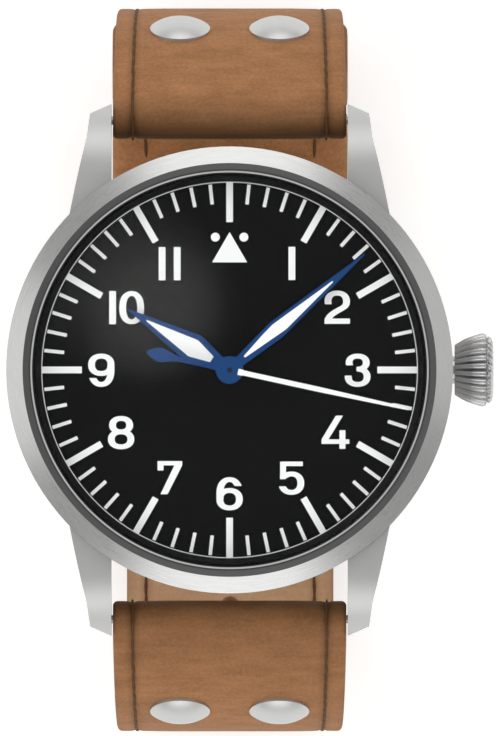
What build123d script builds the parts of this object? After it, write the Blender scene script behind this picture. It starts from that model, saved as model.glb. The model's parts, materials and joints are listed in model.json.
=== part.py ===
from build123d import *
import os
from math import asin, atan2, cos, degrees, hypot, radians, sin, sqrt

# A hand-wound pilot watch on a riveted leather strap, in millimetres.
# The origin is the middle of the case back's outer face, under the axis of the hands.
# +Z points to the crystal, +Y to the 12 and +X to the crown.

# Running fits and small gaps
running_gap = 0.03
pivot_gap = 0.02
seat_gap = 0.02
overrun = 1.0

# Parts of a turn and of a dial
dial_minutes = 60
tick_minutes = 5

# Heights, from the case back up to the crystal
back_thickness = 1.2
movement_gap = 0.6
wheel_recess = 0.2
bridge_thickness = 1.2
train_height = 2.0
plate_thickness = 1.8
motion_height = 0.6
dial_thickness = 0.4
hour_hand_rise = 0.35
minute_hand_rise = 0.5
seconds_hand_rise = 0.45
hand_thickness = 0.2
seconds_hand_thickness = 0.15
crystal_rise = 0.32
movement_low = back_thickness + movement_gap
bridge_low = movement_low + wheel_recess
bridge_high = bridge_low + bridge_thickness
plate_low = bridge_high + train_height
plate_high = plate_low + plate_thickness
dial_low = plate_high + motion_height
dial_high = dial_low + dial_thickness
hour_hand_low = dial_high + hour_hand_rise
minute_hand_low = hour_hand_low + minute_hand_rise
seconds_hand_low = minute_hand_low + seconds_hand_rise
crystal_low = seconds_hand_low + crystal_rise

# Movement's main wheels and its plate, which the case is drawn round
barrel_teeth = 48
centre_pinion_teeth = 8
barrel_module = 0.27
wheel_head_share = 0.9
plate_rim = 0.917
movement_ring_width = 1.4
barrel_distance = barrel_module * (barrel_teeth + centre_pinion_teeth) / 2
barrel_radius = barrel_module * (barrel_teeth / 2 + wheel_head_share)
plate_radius = barrel_distance + barrel_radius + plate_rim
bore_radius = plate_radius + movement_ring_width

# Case middle and its four lugs
dial_step = 1.9
ring_gap = 0.05
neck_wall = 1.05
neck_height = 0.7
bezel_seat_width = 1.4
middle_inset = 0.1
middle_rise = 0.6
underside = 0.9
lower_bevel = 1.2
lug_root_inset = 4.6
lug_shoulder_inset = 2.4
lug_top_drop = 0.3
lug_tip_low = 0.75
lug_tip_high = 2.9
lug_tip_corner = 0.9
lug_root_width = 4.4
lug_waist_width = 2.32
lug_tip_width = 2.0
lug_waist_share = 0.5
lug_sweep_share = 0.55
bar_gap = 2.5
bar_height = 2.6
lug_tip_margin = 1.57
dial_radius = bore_radius + dial_step
neck_radius = dial_radius + ring_gap + neck_wall
case_radius = neck_radius + bezel_seat_width
middle_radius = case_radius - middle_inset
middle_top = dial_high + middle_rise
lug_root_reach = bore_radius - lug_root_inset
lug_shoulder_reach = case_radius - lug_shoulder_inset
bar_reach = case_radius + bar_gap
lug_tip_reach = bar_reach + lug_tip_margin

# Bezel, crystal, gasket and black ring over the dial's edge
bezel_edge_height = 1.0
bezel_slope_width = 1.55
crest_height = 1.9
inner_bevel_width = 0.73
inner_bevel_drop = 0.3
crystal_edge = 0.75
crystal_chamfer = 0.12
dome_rise = 1.1
crystal_middle = 1.0
gasket_width = 0.27
flange_width = 0.75
flange_slope = 0.45
crest_radius = case_radius - bezel_slope_width
gasket_radius = crest_radius - inner_bevel_width
crystal_radius = gasket_radius - gasket_width - seat_gap / 2

# Case back
back_lip = 1.2
back_neck_step = 0.35
back_chamfer = 0.5
back_notches = 6
notch_width = 1.8
notch_depth = 1.3
notch_height = 0.45
back_gasket_gap = 0.1
back_gasket_width = 0.5
back_gasket_height = 0.35
back_radius = bore_radius + back_lip
back_neck_radius = bore_radius + back_neck_step
back_gasket_inner = back_neck_radius + back_gasket_gap

# Dial printing
track_inset = 0.01
track_width = 0.13
print_thickness = 0.05
hour_tick_length = 3.86
hour_tick_width = 0.63
minute_tick_inset = 0.24
minute_tick_length = 1.87
minute_tick_width = 0.33
triangle_gap = 0.93
triangle_height = 2.85
triangle_width = 3.3
dot_radius = 0.42
dot_offset = 1.34
dot_drop = 0.48
dial_foot_radius = 0.4
dial_foot_length = 1.1
dial_foot_inset = 1.0
dial_foot_angles = (100.0, 285.0)
track_radius = dial_radius - flange_width - track_inset
hour_tick_inner = track_radius - hour_tick_length
minute_tick_outer = track_radius - minute_tick_inset
minute_tick_inner = minute_tick_outer - minute_tick_length
triangle_apex = hour_tick_inner - triangle_gap
triangle_base = triangle_apex - triangle_height
dot_reach = triangle_apex - dot_drop
dial_foot_reach = plate_radius - dial_foot_inset

# Hands: angles clockwise from the 12, lengths from the axis
hour_angle = 300.8
minute_angle = 49.4
seconds_angle = 102.3
hour_length = 11.1
hour_widest = 2.8
hour_widest_reach = 3.96
hour_root_width = 0.84
hour_lume_start = 1.94
hour_lume_root_width = 0.62
hour_lume_width = 1.76
hour_lume_inset = 2.03
minute_hand_inset = 1.07
minute_widest = 1.8
minute_widest_reach = 5.85
minute_root_width = 0.8
minute_lume_start = 1.85
minute_lume_root_width = 0.5
minute_lume_width = 1.22
minute_lume_inset = 3.91
hand_point_width = 0.12
hand_hub_radius = 1.28
seconds_hand_inset = 0.54
seconds_root_width = 0.48
seconds_point_width = 0.26
seconds_hub_radius = 1.3
tail_rod_width = 0.5
tail_waist_reach = 5.1
tail_widest = 1.4
tail_widest_reach = 6.6
tail_length = 8.06
minute_length = track_radius - minute_hand_inset
seconds_length = track_radius - seconds_hand_inset
hour_lume_end = hour_length - hour_lume_inset
minute_lume_end = minute_length - minute_lume_inset

# Arbors of the hands, one inside the other
seconds_arbor_radius = 0.15
seconds_pin_radius = 0.23
centre_tube_wall = 0.25
cannon_wall = 0.27
hour_pipe_wall = 0.22
cap_height = 0.15
centre_bore = seconds_arbor_radius + running_gap
centre_tube_radius = centre_bore + centre_tube_wall
cannon_bore = centre_tube_radius
cannon_radius = cannon_bore + cannon_wall
hour_bore = cannon_radius + running_gap
hour_pipe_radius = hour_bore + hour_pipe_wall
cap_top = seconds_hand_low + seconds_hand_thickness + cap_height

# Wheels: teeth, modules and shapes of teeth
centre_teeth = 48
third_pinion_teeth = 6
centre_module = 0.18889
third_teeth = 45
fourth_pinion_teeth = 6
third_module = 0.2
fourth_teeth = 60
escape_pinion_teeth = 6
escape_module = 0.16
cannon_teeth = 10
minute_wheel_teeth = 30
minute_pinion_teeth = 8
hour_teeth = 32
motion_module = 0.16
ratchet_teeth = 42
crown_wheel_teeth = 24
winding_module = 0.25
escape_teeth = 15
wheel_foot_share = 1.2
wheel_root_share = 0.62
wheel_tip_share = 0.16
pinion_head_share = 0.7
pinion_foot_share = 1.3
pinion_root_share = 0.42
pinion_tip_share = 0.14
rim_share = 0.78
hub_share = 0.24
wheel_arm_width = 0.5
wheel_arms = 4

# Heights and sizes inside the going train
wheel_thickness = 0.2
train_floor_gap = 0.15
fourth_pinion_height = 0.55
third_wheel_lift = 0.15
tube_foot_gap = 0.1
centre_wheel_lift = 0.05
third_pinion_drop = 0.2
centre_pinion_height = 0.7
arbor_radius = 0.25
pivot_radius = 0.1
jewel_radius = 0.55
jewel_thickness = 0.3
third_place_angle = 150.0
escape_place_angle = 215.0
pallet_place_angle = 240.0
pallet_distance = 2.7
balance_place_angle = 287.0
balance_distance = 3.69
barrel_place_angle = 65.0
minute_wheel_angle = 300.0

# Mainspring barrel and winding wheels
barrel_height = 1.85
barrel_teeth_height = 0.3
barrel_wall = 0.5
barrel_floor = 0.3
barrel_plate_gap = 0.12
barrel_lid_thickness = 0.25
barrel_arbor_radius = 0.7
barrel_core_radius = 1.6
ratchet_thickness = 0.5
spring_pack_gap = 0.15
barrel_bush = 0.02
crown_wheel_thickness = 0.8
crown_wheel_screw = 1.0
winding_pinion_radius = 1.25
winding_pinion_length = 1.3
winding_teeth = 12
winding_groove_width = 0.35
contact_gap = 0.05
sliding_pinion_radius = 1.0
sliding_pinion_length = 1.2
sliding_waist_radius = 0.82
sliding_waist_width = 0.4
crown_pull = 1.2

# Regulating parts
escape_wheel_lift = 1.4
escape_tip_radius = 1.85
escape_root_share = 0.72
escape_rim_share = 0.56
escape_hub_radius = 0.4
fork_arm_width = 0.35
fork_lever_width = 0.4
fork_reach = 2.3
fork_arm_reach = 1.75
fork_arm_spread = 57.0
fork_horn_width = 0.9
fork_slot_width = 0.4
balance_radius = 4.3
balance_rim_width = 0.45
balance_rim_height = 0.4
balance_arm_width = 0.6
balance_arm_height = 0.2
balance_lift = 0.3
balance_staff_radius = 0.3
roller_radius = 0.9
roller_height = 0.2
roller_pin_radius = 0.14
hairspring_turns = 3
hairspring_start = 0.55
hairspring_pitch = 0.36
hairspring_width = 0.09
hairspring_height = 0.14
hairspring_lift = 0.08

# Plates and bridges
bridge_inset = 0.6
bridge_line_distance = 1.9
bridge_line_angle = 42.0
finger_width = 3.0
foot_radius = 1.2
train_foot_angles = (158.6, 186.3)
train_foot_distance_shares = (0.8125, 0.7237)
barrel_foot_angles = (20.5, 116.9, 331.6)
barrel_foot_distance_shares = (0.8618, 0.8553, 0.7171)
cock_foot_angle = 278.7
cock_foot_distance_share = 0.825
cock_thickness = 0.8
pallet_foot_angle = 203.6
pallet_foot_distance_share = 0.6895
pallet_bridge_thickness = 0.35
pallet_bridge_width = 1.6
pallet_bridge_lift = 0.85
screw_radius = 0.45
screw_head_radius = 0.8
screw_head_height = 0.3
screw_slot_width = 0.2
screw_slot_depth = 0.15
ring_height = 4.4
click_length = 3.2
click_width = 0.9
click_pin_radius = 0.4
click_place_angle = 100.0
click_height = 0.5
click_gap = 0.12
click_swing = 0.7
pinion_window_gap = 0.4
bridge_radius = plate_radius - bridge_inset
screw_depth = plate_thickness / 2
cock_low = bridge_low
cock_high = cock_low + cock_thickness
pallet_bridge_low = bridge_high + pallet_bridge_lift
roller_pin_reach = roller_radius - roller_pin_radius - running_gap

# Crown, stem and case tube
stem_height_share = 0.35
stem_height = bridge_high + stem_height_share * train_height
crown_gap = 0.2
crown_length = 3.65
crown_radius = 3.47
crown_neck_radius = 2.35
crown_swell_share = 0.45
crown_bulge_share = 0.75
crown_widest_share = 0.72
crown_edge_share = 0.84
crown_edge_radius = 3.2
crown_end_radius = 2.4
crown_flutes = 26
flute_radius = 0.3
flute_depth = 0.22
crown_bore_radius = 1.75
crown_bore_depth = 2.4
tube_radius = 1.3
tube_bore_radius = 0.8
tube_end_gap = 0.2
stem_radius = 0.6
stem_thread_depth = 0.6
crown_gasket_inset = 0.25
crown_gasket_length = 0.5

# Strap: widths, layers and the shape of each half
strap_width = 22.0
strap_side_gap = 0.14
strap_shoulder_drop = 0.68
strap_buckle_width = 20.0
spring_bar_radius = 0.9
spring_bar_tip_radius = 0.4
spring_bar_tip_length = 1.0
spring_bar_inset = 0.3
bar_hole_gap = 0.05
eye_radius = 1.75
strap_thickness = 2.4
lining_thickness = 0.9
lining_start_share = 0.8
strap_overhang = 10.95
strap_depth = 55.15
wide_depth = 18.7
turn_radius = 18.45
buckle_run = 4.0
tail_turn_angle = 110.0
tail_run = 30.0
tail_tip_length = 11.0
tail_tip_bulge_share = 0.72
tail_hole_radius = 0.9
tail_hole_count = 7
tail_hole_start = 24.0
tail_hole_pitch = 6.5
rivet_spacing = 9.4
rivet_angle_share = 0.4708
rivet_radius = 2.84
rivet_height = 1.15
rivet_rim = 0.2
rivet_sink = 0.15
rivet_shank_radius = 1.0
rivet_back_radius = 1.9
rivet_back_height = 0.25
bar_tip_end = strap_width / 2 + strap_side_gap + spring_bar_tip_length
strap_shoulder_width = strap_width - strap_shoulder_drop
strap_reach = bar_reach + strap_overhang
side_centre = strap_reach - turn_radius
middle_turn = turn_radius - strap_thickness / 2

# Keepers, buckle and tongue
keeper_wall = 1.1
keeper_side_gap = 0.25
keeper_inner_gap = 0.4
keeper_room = 2.8
keeper_corner = 0.8
fixed_keeper_length = 6.0
fixed_keeper_angle = 16.5
free_keeper_length = 5.0
free_keeper_angle = 46.0
buckle_eye_radius = 1.5
buckle_bar_radius = 0.75
buckle_side_gap = 0.2
buckle_rail = 2.0
buckle_crossbar = 2.4
buckle_length = 13.0
buckle_back = 1.5
buckle_thickness = 2.8
buckle_corner = 3.0
tongue_width = 1.9
tongue_side_gap = 0.25
tongue_thickness = 0.65
tongue_hub_radius = 1.25
tongue_notch_depth = 4.6
tongue_tip_gap = 0.2
buckle_bar_inset = 0.3
buckle_angle = 90.0
buckle_bar_reach = side_centre - buckle_run
keeper_reach = middle_turn + strap_thickness / 2 + keeper_room + keeper_wall
keeper_low = keeper_reach * cos(radians(fixed_keeper_angle))
keeper_low += fixed_keeper_length / 2 * sin(radians(fixed_keeper_angle))
tail_turn_height = turn_radius - strap_depth
buckle_turn_height = keeper_low - strap_depth
buckle_bar_height = buckle_turn_height - middle_turn
buckle_drop = strap_depth + buckle_bar_height
buckle_arm = hypot(buckle_length, buckle_thickness / 2)
buckle_droop = degrees(asin(buckle_drop / buckle_arm) - atan2(buckle_thickness / 2, buckle_length))


def polar(distance, angle):
    """Place at a distance from the axis of the hands, in a direction."""
    return (distance * cos(radians(angle)), distance * sin(radians(angle)))


def moved(start, distance, angle):
    """Place at a distance from another place, in a direction."""
    step = polar(distance, angle)
    return (start[0] + step[0], start[1] + step[1])


def disc(radius, low, high, at=(0, 0)):
    """Upright cylinder between two heights."""
    return Pos(at[0], at[1], low) * extrude(Circle(radius), high - low)


def ring(outer, inner, low, high, at=(0, 0)):
    """Upright tube between two heights."""
    return Pos(at[0], at[1], low) * extrude(Circle(outer) - Circle(inner), high - low)


def slab(width, depth, low, high, at=(0, 0), turn=0):
    """Upright block between two heights, turned about its own middle."""
    return Pos(at[0], at[1], low) * Rot(0, 0, turn) * extrude(Rectangle(width, depth), high - low)


def finger(start, end, width, low, high):
    """Flat bar with round ends from one place to another."""
    length = hypot(end[0] - start[0], end[1] - start[1])
    angle = degrees(atan2(end[1] - start[1], end[0] - start[0]))
    middle = ((start[0] + end[0]) / 2, (start[1] + end[1]) / 2)
    outline = Rectangle(length, width) + Pos(length / 2, 0) * Circle(width / 2)
    outline += Pos(-length / 2, 0) * Circle(width / 2)
    return Pos(middle[0], middle[1], low) * Rot(0, 0, angle) * extrude(outline, high - low)


def turned(points):
    """Solid of revolution about Z from (radius, height) corners."""
    return revolve(Plane.XZ * make_face(Polyline(*points, close=True)), Axis.Z)


def dome(radius, edge, rise):
    """Arc of a round dome, from its edge up to the axis."""
    ball = (radius**2 + rise**2) / (2 * rise)
    half = asin(radius / ball) / 2
    middle = (ball * sin(half), edge + rise - ball * (1 - cos(half)))
    return ThreePointArc((radius, edge), middle, (0, edge + rise))


def along_stem(radius, start, end):
    """Round bar on the stem's axis between two distances from the centre."""
    plane = Plane((start, 0, stem_height), x_dir=(0, 1, 0), z_dir=(1, 0, 0))
    return plane * extrude(Circle(radius), end - start)


# Places of the wheels
third_distance = centre_module * (centre_teeth + third_pinion_teeth) / 2
escape_distance = escape_module * (fourth_teeth + escape_pinion_teeth) / 2
motion_distance = motion_module * (cannon_teeth + minute_wheel_teeth) / 2
winding_distance = winding_module * (ratchet_teeth + crown_wheel_teeth) / 2
third_place = polar(third_distance, third_place_angle)
escape_place = polar(escape_distance, escape_place_angle)
pallet_place = moved(escape_place, pallet_distance, pallet_place_angle)
balance_place = moved(pallet_place, balance_distance, balance_place_angle)
barrel_place = polar(barrel_distance, barrel_place_angle)
minute_wheel_place = polar(motion_distance, minute_wheel_angle)
crown_wheel_place = (barrel_place[0] + sqrt(winding_distance**2 - barrel_place[1] ** 2), 0)

# Heights of the wheels
fourth_low = bridge_high + train_floor_gap
third_low = fourth_low + wheel_thickness + third_wheel_lift
tube_foot = fourth_low + wheel_thickness + fourth_pinion_height + tube_foot_gap
centre_low = tube_foot + centre_wheel_lift
centre_pinion_low = centre_low + wheel_thickness
barrel_low = centre_pinion_low + barrel_plate_gap
barrel_high = barrel_low + barrel_height
barrel_seat_high = barrel_high + barrel_plate_gap
escape_low = bridge_high + escape_wheel_lift
balance_low = bridge_high + balance_lift
winding_low = movement_low
ratchet_high = winding_low + ratchet_thickness
crown_wheel_high = winding_low + crown_wheel_thickness

# Pinions on the stem
pinion_start = crown_wheel_place[0] + winding_module * crown_wheel_teeth / 2 - winding_pinion_length / 2
pinion_end = pinion_start + winding_pinion_length
sliding_end = pinion_start - contact_gap
sliding_start = sliding_end - sliding_pinion_length


def gear_outline(teeth, module, shape, turn):
    """Straight-flanked teeth round a root circle, with one tooth at the angle turn."""
    head, foot, root_share, tip_share = shape
    outer = module * (teeth / 2 + head)
    root = module * (teeth / 2 - foot)
    pitch = 360 / teeth
    corners = ((root, -root_share), (outer, -tip_share), (outer, tip_share), (root, root_share))
    points = []
    for tooth in range(teeth):
        for radius, share in corners:
            points.append(polar(radius, turn + pitch * (tooth + share / 2)))
    return make_face(Polyline(*points, close=True))


def wheel_outline(teeth, module, towards):
    """Wheel with a tooth that points along an angle."""
    shape = (wheel_head_share, wheel_foot_share, wheel_root_share, wheel_tip_share)
    return gear_outline(teeth, module, shape, towards)


def pinion_outline(teeth, module, towards):
    """Pinion with a gap between its leaves that points along an angle."""
    shape = (pinion_head_share, pinion_foot_share, pinion_root_share, pinion_tip_share)
    return gear_outline(teeth, module, shape, towards + 180 / teeth)


def crossings(module, teeth):
    """Windows between the arms of a wheel."""
    pitch_radius = module * teeth / 2
    windows = Circle(rim_share * pitch_radius) - Circle(hub_share * pitch_radius)
    for arm in range(wheel_arms // 2):
        windows -= Rot(0, 0, arm * 360 / wheel_arms) * Rectangle(2 * pitch_radius, wheel_arm_width)
    return windows


def facing(start, end):
    """Direction from one place to another, in degrees."""
    return degrees(atan2(end[1] - start[1], end[0] - start[0]))


# Case, bezel, crystal and case back
def lug():
    """One curved lug, at the 12 and on the crown's side."""
    inner = (strap_width + 2 * strap_side_gap) / 2
    tip = lug_tip_reach
    top = middle_top - lug_top_drop
    side = Line((lug_root_reach, top), (lug_shoulder_reach, top))
    side += TangentArc((lug_shoulder_reach, top), (tip, lug_tip_high), tangent=(1, 0))
    low = underside + lower_bevel
    corner_high, corner_low = (tip, lug_tip_low + lug_tip_corner), (tip - lug_tip_corner, lug_tip_low)
    side += Line((tip, lug_tip_high), corner_high)
    side += RadiusArc(corner_high, corner_low, lug_tip_corner)
    side += Line(corner_low, (lug_shoulder_reach, low))
    side += Line((lug_shoulder_reach, low), (lug_root_reach, low))
    side += Line((lug_root_reach, low), (lug_root_reach, top))
    blank = Plane.YZ * extrude(make_face(side), case_radius)
    waist = lug_shoulder_reach + lug_waist_share * (tip - lug_shoulder_reach)
    plan = Line((inner, lug_root_reach), (inner, tip))
    plan += Line((inner, tip), (inner + lug_tip_width, tip - lug_tip_corner))
    plan += Line((inner + lug_tip_width, tip - lug_tip_corner), (inner + lug_waist_width, waist))
    root = (inner + lug_root_width, lug_root_reach)
    bend = lug_waist_width + (lug_root_width - lug_waist_width) * lug_sweep_share
    middle = (waist + lug_root_reach) / 2
    plan += ThreePointArc((inner + lug_waist_width, waist), (inner + bend, middle), root)
    plan += Line(root, (inner, lug_root_reach))
    return blank & extrude(make_face(plan), middle_top)


def case_middle():
    """Case ring with its four lugs, bored for the movement, the dial, the back and the tube."""
    body = turned(
        (
            (0, underside),
            (middle_radius - lower_bevel, underside),
            (middle_radius, underside + lower_bevel),
            (middle_radius, middle_top),
            (neck_radius, middle_top),
            (neck_radius, middle_top + neck_height),
            (0, middle_top + neck_height),
        )
    )
    for flip_x in (False, True):
        for flip_y in (False, True):
            horn = lug()
            horn = mirror(horn, about=Plane.YZ) if flip_x else horn
            horn = mirror(horn, about=Plane.XZ) if flip_y else horn
            body += horn
    body -= disc(bore_radius, 0, dial_low + overrun)
    body -= disc(dial_radius + ring_gap, dial_low, middle_top + neck_height + overrun)
    body -= disc(back_neck_radius + seat_gap, 0, back_thickness)
    groove_outer = back_gasket_inner + back_gasket_width + seat_gap
    groove_top = underside + back_gasket_height + seat_gap
    body -= ring(groove_outer, back_gasket_inner - seat_gap, 0, groove_top)
    body -= along_stem(tube_radius, bore_radius - overrun, case_radius + overrun)
    for side in (1, -1):
        hole = Plane.YZ * Pos(side * bar_reach, bar_height) * Circle(spring_bar_tip_radius + seat_gap)
        body -= extrude(hole, bar_tip_end + seat_gap, both=True)
    return body


def bezel():
    """Ring with a sloped outer face and a polished bevel down to the crystal."""
    low = middle_top + seat_gap
    edge = low + bezel_edge_height
    crest = low + crest_height
    over_neck = middle_top + neck_height + seat_gap
    return turned(
        (
            (neck_radius + ring_gap, low),
            (case_radius, low),
            (case_radius, edge),
            (crest_radius, crest),
            (gasket_radius, crest - inner_bevel_drop),
            (gasket_radius, crystal_low),
            (dial_radius + ring_gap, crystal_low),
            (dial_radius + ring_gap, over_neck),
            (neck_radius + ring_gap, over_neck),
        )
    )


def crystal():
    """Domed glass, hollowed to the same curve inside."""
    top = crystal_low + crystal_edge + dome_rise
    inner_top = top - crystal_middle
    edge_top = crystal_low + crystal_edge
    inner_radius = crystal_radius - crystal_edge
    side = Line((0, inner_top), (0, top))
    side += dome(crystal_radius - crystal_chamfer, edge_top, dome_rise)
    side += Line((crystal_radius - crystal_chamfer, edge_top), (crystal_radius, edge_top - crystal_chamfer))
    side += Line((crystal_radius, edge_top - crystal_chamfer), (crystal_radius, crystal_low))
    side += Line((crystal_radius, crystal_low), (inner_radius, crystal_low))
    side += dome(inner_radius, crystal_low, inner_top - crystal_low)
    return revolve(Plane.XZ * make_face(side), Axis.Z)


def crystal_gasket():
    """White plastic ring pressed between the crystal and the bezel."""
    return ring(gasket_radius, crystal_radius + seat_gap / 2, crystal_low, crystal_low + crystal_edge)


def flange_ring():
    """Black sloping ring between the dial and the crystal."""
    inner = dial_radius - flange_width
    return turned(
        (
            (dial_radius, dial_high),
            (dial_radius, crystal_low - seat_gap),
            (inner + flange_slope, crystal_low - seat_gap),
            (inner, dial_high),
        )
    )


def case_back():
    """Screwed back with a notched rim for the key."""
    body = turned(
        (
            (0, 0),
            (back_radius - back_chamfer, 0),
            (back_radius, back_chamfer),
            (back_radius, underside - seat_gap),
            (back_neck_radius, underside - seat_gap),
            (back_neck_radius, back_thickness),
            (0, back_thickness),
        )
    )
    for notch in range(back_notches):
        angle = (notch + 1 / 2) * 360 / back_notches
        place = polar(back_radius - notch_depth / 2 + overrun / 2, angle)
        body -= slab(notch_depth + overrun, notch_width, -overrun, notch_height, place, angle)
    return body


def case_back_gasket():
    """Flat rubber ring in the groove under the case."""
    low = underside - seat_gap
    return ring(back_gasket_inner + back_gasket_width, back_gasket_inner, low, low + back_gasket_height)


# Dial and hands
def dial():
    """Dial plate with its two feet and the hole for the hands."""
    body = disc(dial_radius, dial_low, dial_high)
    for angle in dial_foot_angles:
        body += disc(dial_foot_radius, dial_low - dial_foot_length, dial_low, polar(dial_foot_reach, angle))
    return body - disc(hour_pipe_radius + ring_gap, 0, dial_high + overrun)


def tick(inner, outer, width, angle):
    """Printed bar that points at the axis."""
    face = Rot(0, 0, -angle) * Pos(0, (inner + outer) / 2) * Rectangle(width, outer - inner)
    return Pos(0, 0, dial_high) * extrude(face, print_thickness)


def dial_markers():
    """Bars of the hours and minutes, the triangle with its two dots, and the track."""
    marks = []
    for minute in range(dial_minutes):
        angle = minute * 360 / dial_minutes
        if minute % tick_minutes == 0:
            marks.append(tick(hour_tick_inner, track_radius - track_width, hour_tick_width, angle))
        else:
            marks.append(tick(minute_tick_inner, minute_tick_outer, minute_tick_width, angle))
    marks.append(ring(track_radius, track_radius - track_width, dial_high, dial_high + print_thickness))
    half = triangle_width / 2
    corners = ((0, triangle_apex), (half, triangle_base), (-half, triangle_base))
    triangle = make_face(Polyline(*corners, close=True))
    marks.append(Pos(0, 0, dial_high) * extrude(triangle, print_thickness))
    for side in (1, -1):
        marks.append(disc(dot_radius, dial_high, dial_high + print_thickness, (side * dot_offset, dot_reach)))
    return marks


def kite(start, root_width, widest_reach, widest, end, point_width):
    """Sword outline along +Y, from its root to its point."""
    half = ((root_width / 2, start), (widest / 2, widest_reach), (point_width / 2, end))
    points = list(half) + [(-x, y) for x, y in reversed(half)]
    return make_face(Polyline(*points, close=True))


def hour_lume_outline():
    """Window for the luminous filling of the hour hand."""
    start, end = hour_lume_start, hour_lume_end
    return kite(start, hour_lume_root_width, hour_widest_reach, hour_lume_width, end, hand_point_width)


def minute_lume_outline():
    """Window for the luminous filling of the minute hand."""
    start, end = minute_lume_start, minute_lume_end
    return kite(start, minute_lume_root_width, minute_widest_reach, minute_lume_width, end, hand_point_width)


def placed_hand(outline, low, thickness, angle):
    """Hand's outline at its height, turned clockwise from the 12."""
    return Pos(0, 0, low) * Rot(0, 0, -angle) * extrude(outline, thickness)


def hour_hand():
    """Blued frame of the hour hand on its pipe."""
    outline = kite(0, hour_root_width, hour_widest_reach, hour_widest, hour_length, hand_point_width)
    outline += Circle(hand_hub_radius)
    outline -= Circle(hour_pipe_radius)
    return placed_hand(outline - hour_lume_outline(), hour_hand_low, hand_thickness, hour_angle)


def hour_hand_lume():
    """Luminous filling of the hour hand."""
    return placed_hand(hour_lume_outline(), hour_hand_low, hand_thickness, hour_angle)


def minute_hand():
    """Blued frame of the minute hand on the cannon pinion."""
    outline = kite(0, minute_root_width, minute_widest_reach, minute_widest, minute_length, hand_point_width)
    outline += Circle(hand_hub_radius)
    outline -= Circle(cannon_radius)
    return placed_hand(outline - minute_lume_outline(), minute_hand_low, hand_thickness, minute_angle)


def minute_hand_lume():
    """Luminous filling of the minute hand."""
    return placed_hand(minute_lume_outline(), minute_hand_low, hand_thickness, minute_angle)


def seconds_hand():
    """Needle with a hub and a leaf-shaped counterweight."""
    width = seconds_root_width
    outline = kite(0, width, seconds_length / 2, width, seconds_length, seconds_point_width)
    outline += Circle(seconds_hub_radius)
    outline += Pos(0, -tail_waist_reach / 2) * Rectangle(tail_rod_width, tail_waist_reach)
    leaf = Line((tail_rod_width / 2, -tail_waist_reach), (tail_widest / 2, -tail_widest_reach))
    bend = tail_length - tail_waist_reach
    leaf += RadiusArc((tail_widest / 2, -tail_widest_reach), (0, -tail_length), bend)
    leaf += mirror(leaf, about=Plane.YZ)
    leaf += Line((-tail_rod_width / 2, -tail_waist_reach), (tail_rod_width / 2, -tail_waist_reach))
    outline += make_face(leaf)
    outline -= Circle(seconds_arbor_radius)
    return placed_hand(outline, seconds_hand_low, seconds_hand_thickness, seconds_angle)


# Going train, from the barrel to the escape wheel
def arbor(place, low, high):
    """Wheel's arbor with a thinner pivot at each end."""
    body = disc(arbor_radius, low, high, place)
    body += disc(pivot_radius, low - jewel_thickness, low, place)
    return body + disc(pivot_radius, high, high + jewel_thickness, place)


def gear(outline, place, low, thickness):
    """Wheel or pinion of one thickness at its place."""
    return Pos(place[0], place[1], low) * extrude(outline, thickness)


def fourth_wheel():
    """Wheel, pinion and long arbor that carries the seconds hand."""
    rim = wheel_outline(fourth_teeth, escape_module, escape_place_angle)
    rim -= crossings(escape_module, fourth_teeth)
    leaves = pinion_outline(fourth_pinion_teeth, third_module, third_place_angle)
    body = gear(rim, (0, 0), fourth_low, wheel_thickness)
    body += gear(leaves, (0, 0), fourth_low + wheel_thickness, fourth_pinion_height)
    body += disc(seconds_arbor_radius, fourth_low, seconds_hand_low + seconds_hand_thickness)
    body += disc(arbor_radius, bridge_high, fourth_low)
    body += disc(seconds_pin_radius, seconds_hand_low + seconds_hand_thickness, cap_top)
    return body + disc(pivot_radius, bridge_high - jewel_thickness, bridge_high)


def third_wheel():
    """Wheel on the fourth pinion, with the pinion that the centre wheel drives."""
    rim = wheel_outline(third_teeth, third_module, third_place_angle + 180)
    rim -= crossings(third_module, third_teeth)
    leaves = pinion_outline(third_pinion_teeth, centre_module, third_place_angle + 180)
    body = gear(rim, third_place, third_low, wheel_thickness)
    pinion_low = third_low + wheel_thickness
    body += gear(leaves, third_place, pinion_low, centre_pinion_low + third_pinion_drop - pinion_low)
    return body + arbor(third_place, bridge_high, plate_low)


def centre_wheel():
    """Wheel and pinion on the hollow arbor of the minute hand."""
    rim = wheel_outline(centre_teeth, centre_module, third_place_angle)
    rim -= crossings(centre_module, centre_teeth)
    leaves = pinion_outline(centre_pinion_teeth, barrel_module, barrel_place_angle)
    body = gear(rim, (0, 0), centre_low, wheel_thickness)
    body += gear(leaves, (0, 0), centre_pinion_low, centre_pinion_height)
    body += disc(centre_tube_radius, tube_foot, minute_hand_low + hand_thickness)
    return body - disc(centre_bore, 0, cap_top)


def cannon_pinion():
    """Pinion pushed over the centre arbor, which drives the minute wheel."""
    leaves = pinion_outline(cannon_teeth, motion_module, minute_wheel_angle)
    body = gear(leaves, (0, 0), plate_high + running_gap, motion_height / 2 - 2 * running_gap)
    body += disc(cannon_radius, plate_high + running_gap, minute_hand_low + hand_thickness)
    return body - disc(cannon_bore, 0, cap_top)


def minute_wheel():
    """Wheel and pinion on a post of the main plate, under the dial."""
    rim = wheel_outline(minute_wheel_teeth, motion_module, minute_wheel_angle + 180)
    leaves = pinion_outline(minute_pinion_teeth, motion_module, minute_wheel_angle + 180)
    middle = plate_high + motion_height / 2
    body = gear(rim, minute_wheel_place, plate_high + running_gap, middle - plate_high - 2 * running_gap)
    low = middle - running_gap
    body += gear(leaves, minute_wheel_place, low, dial_low - running_gap - low)
    return body - disc(arbor_radius + running_gap, 0, dial_high, minute_wheel_place)


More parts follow.
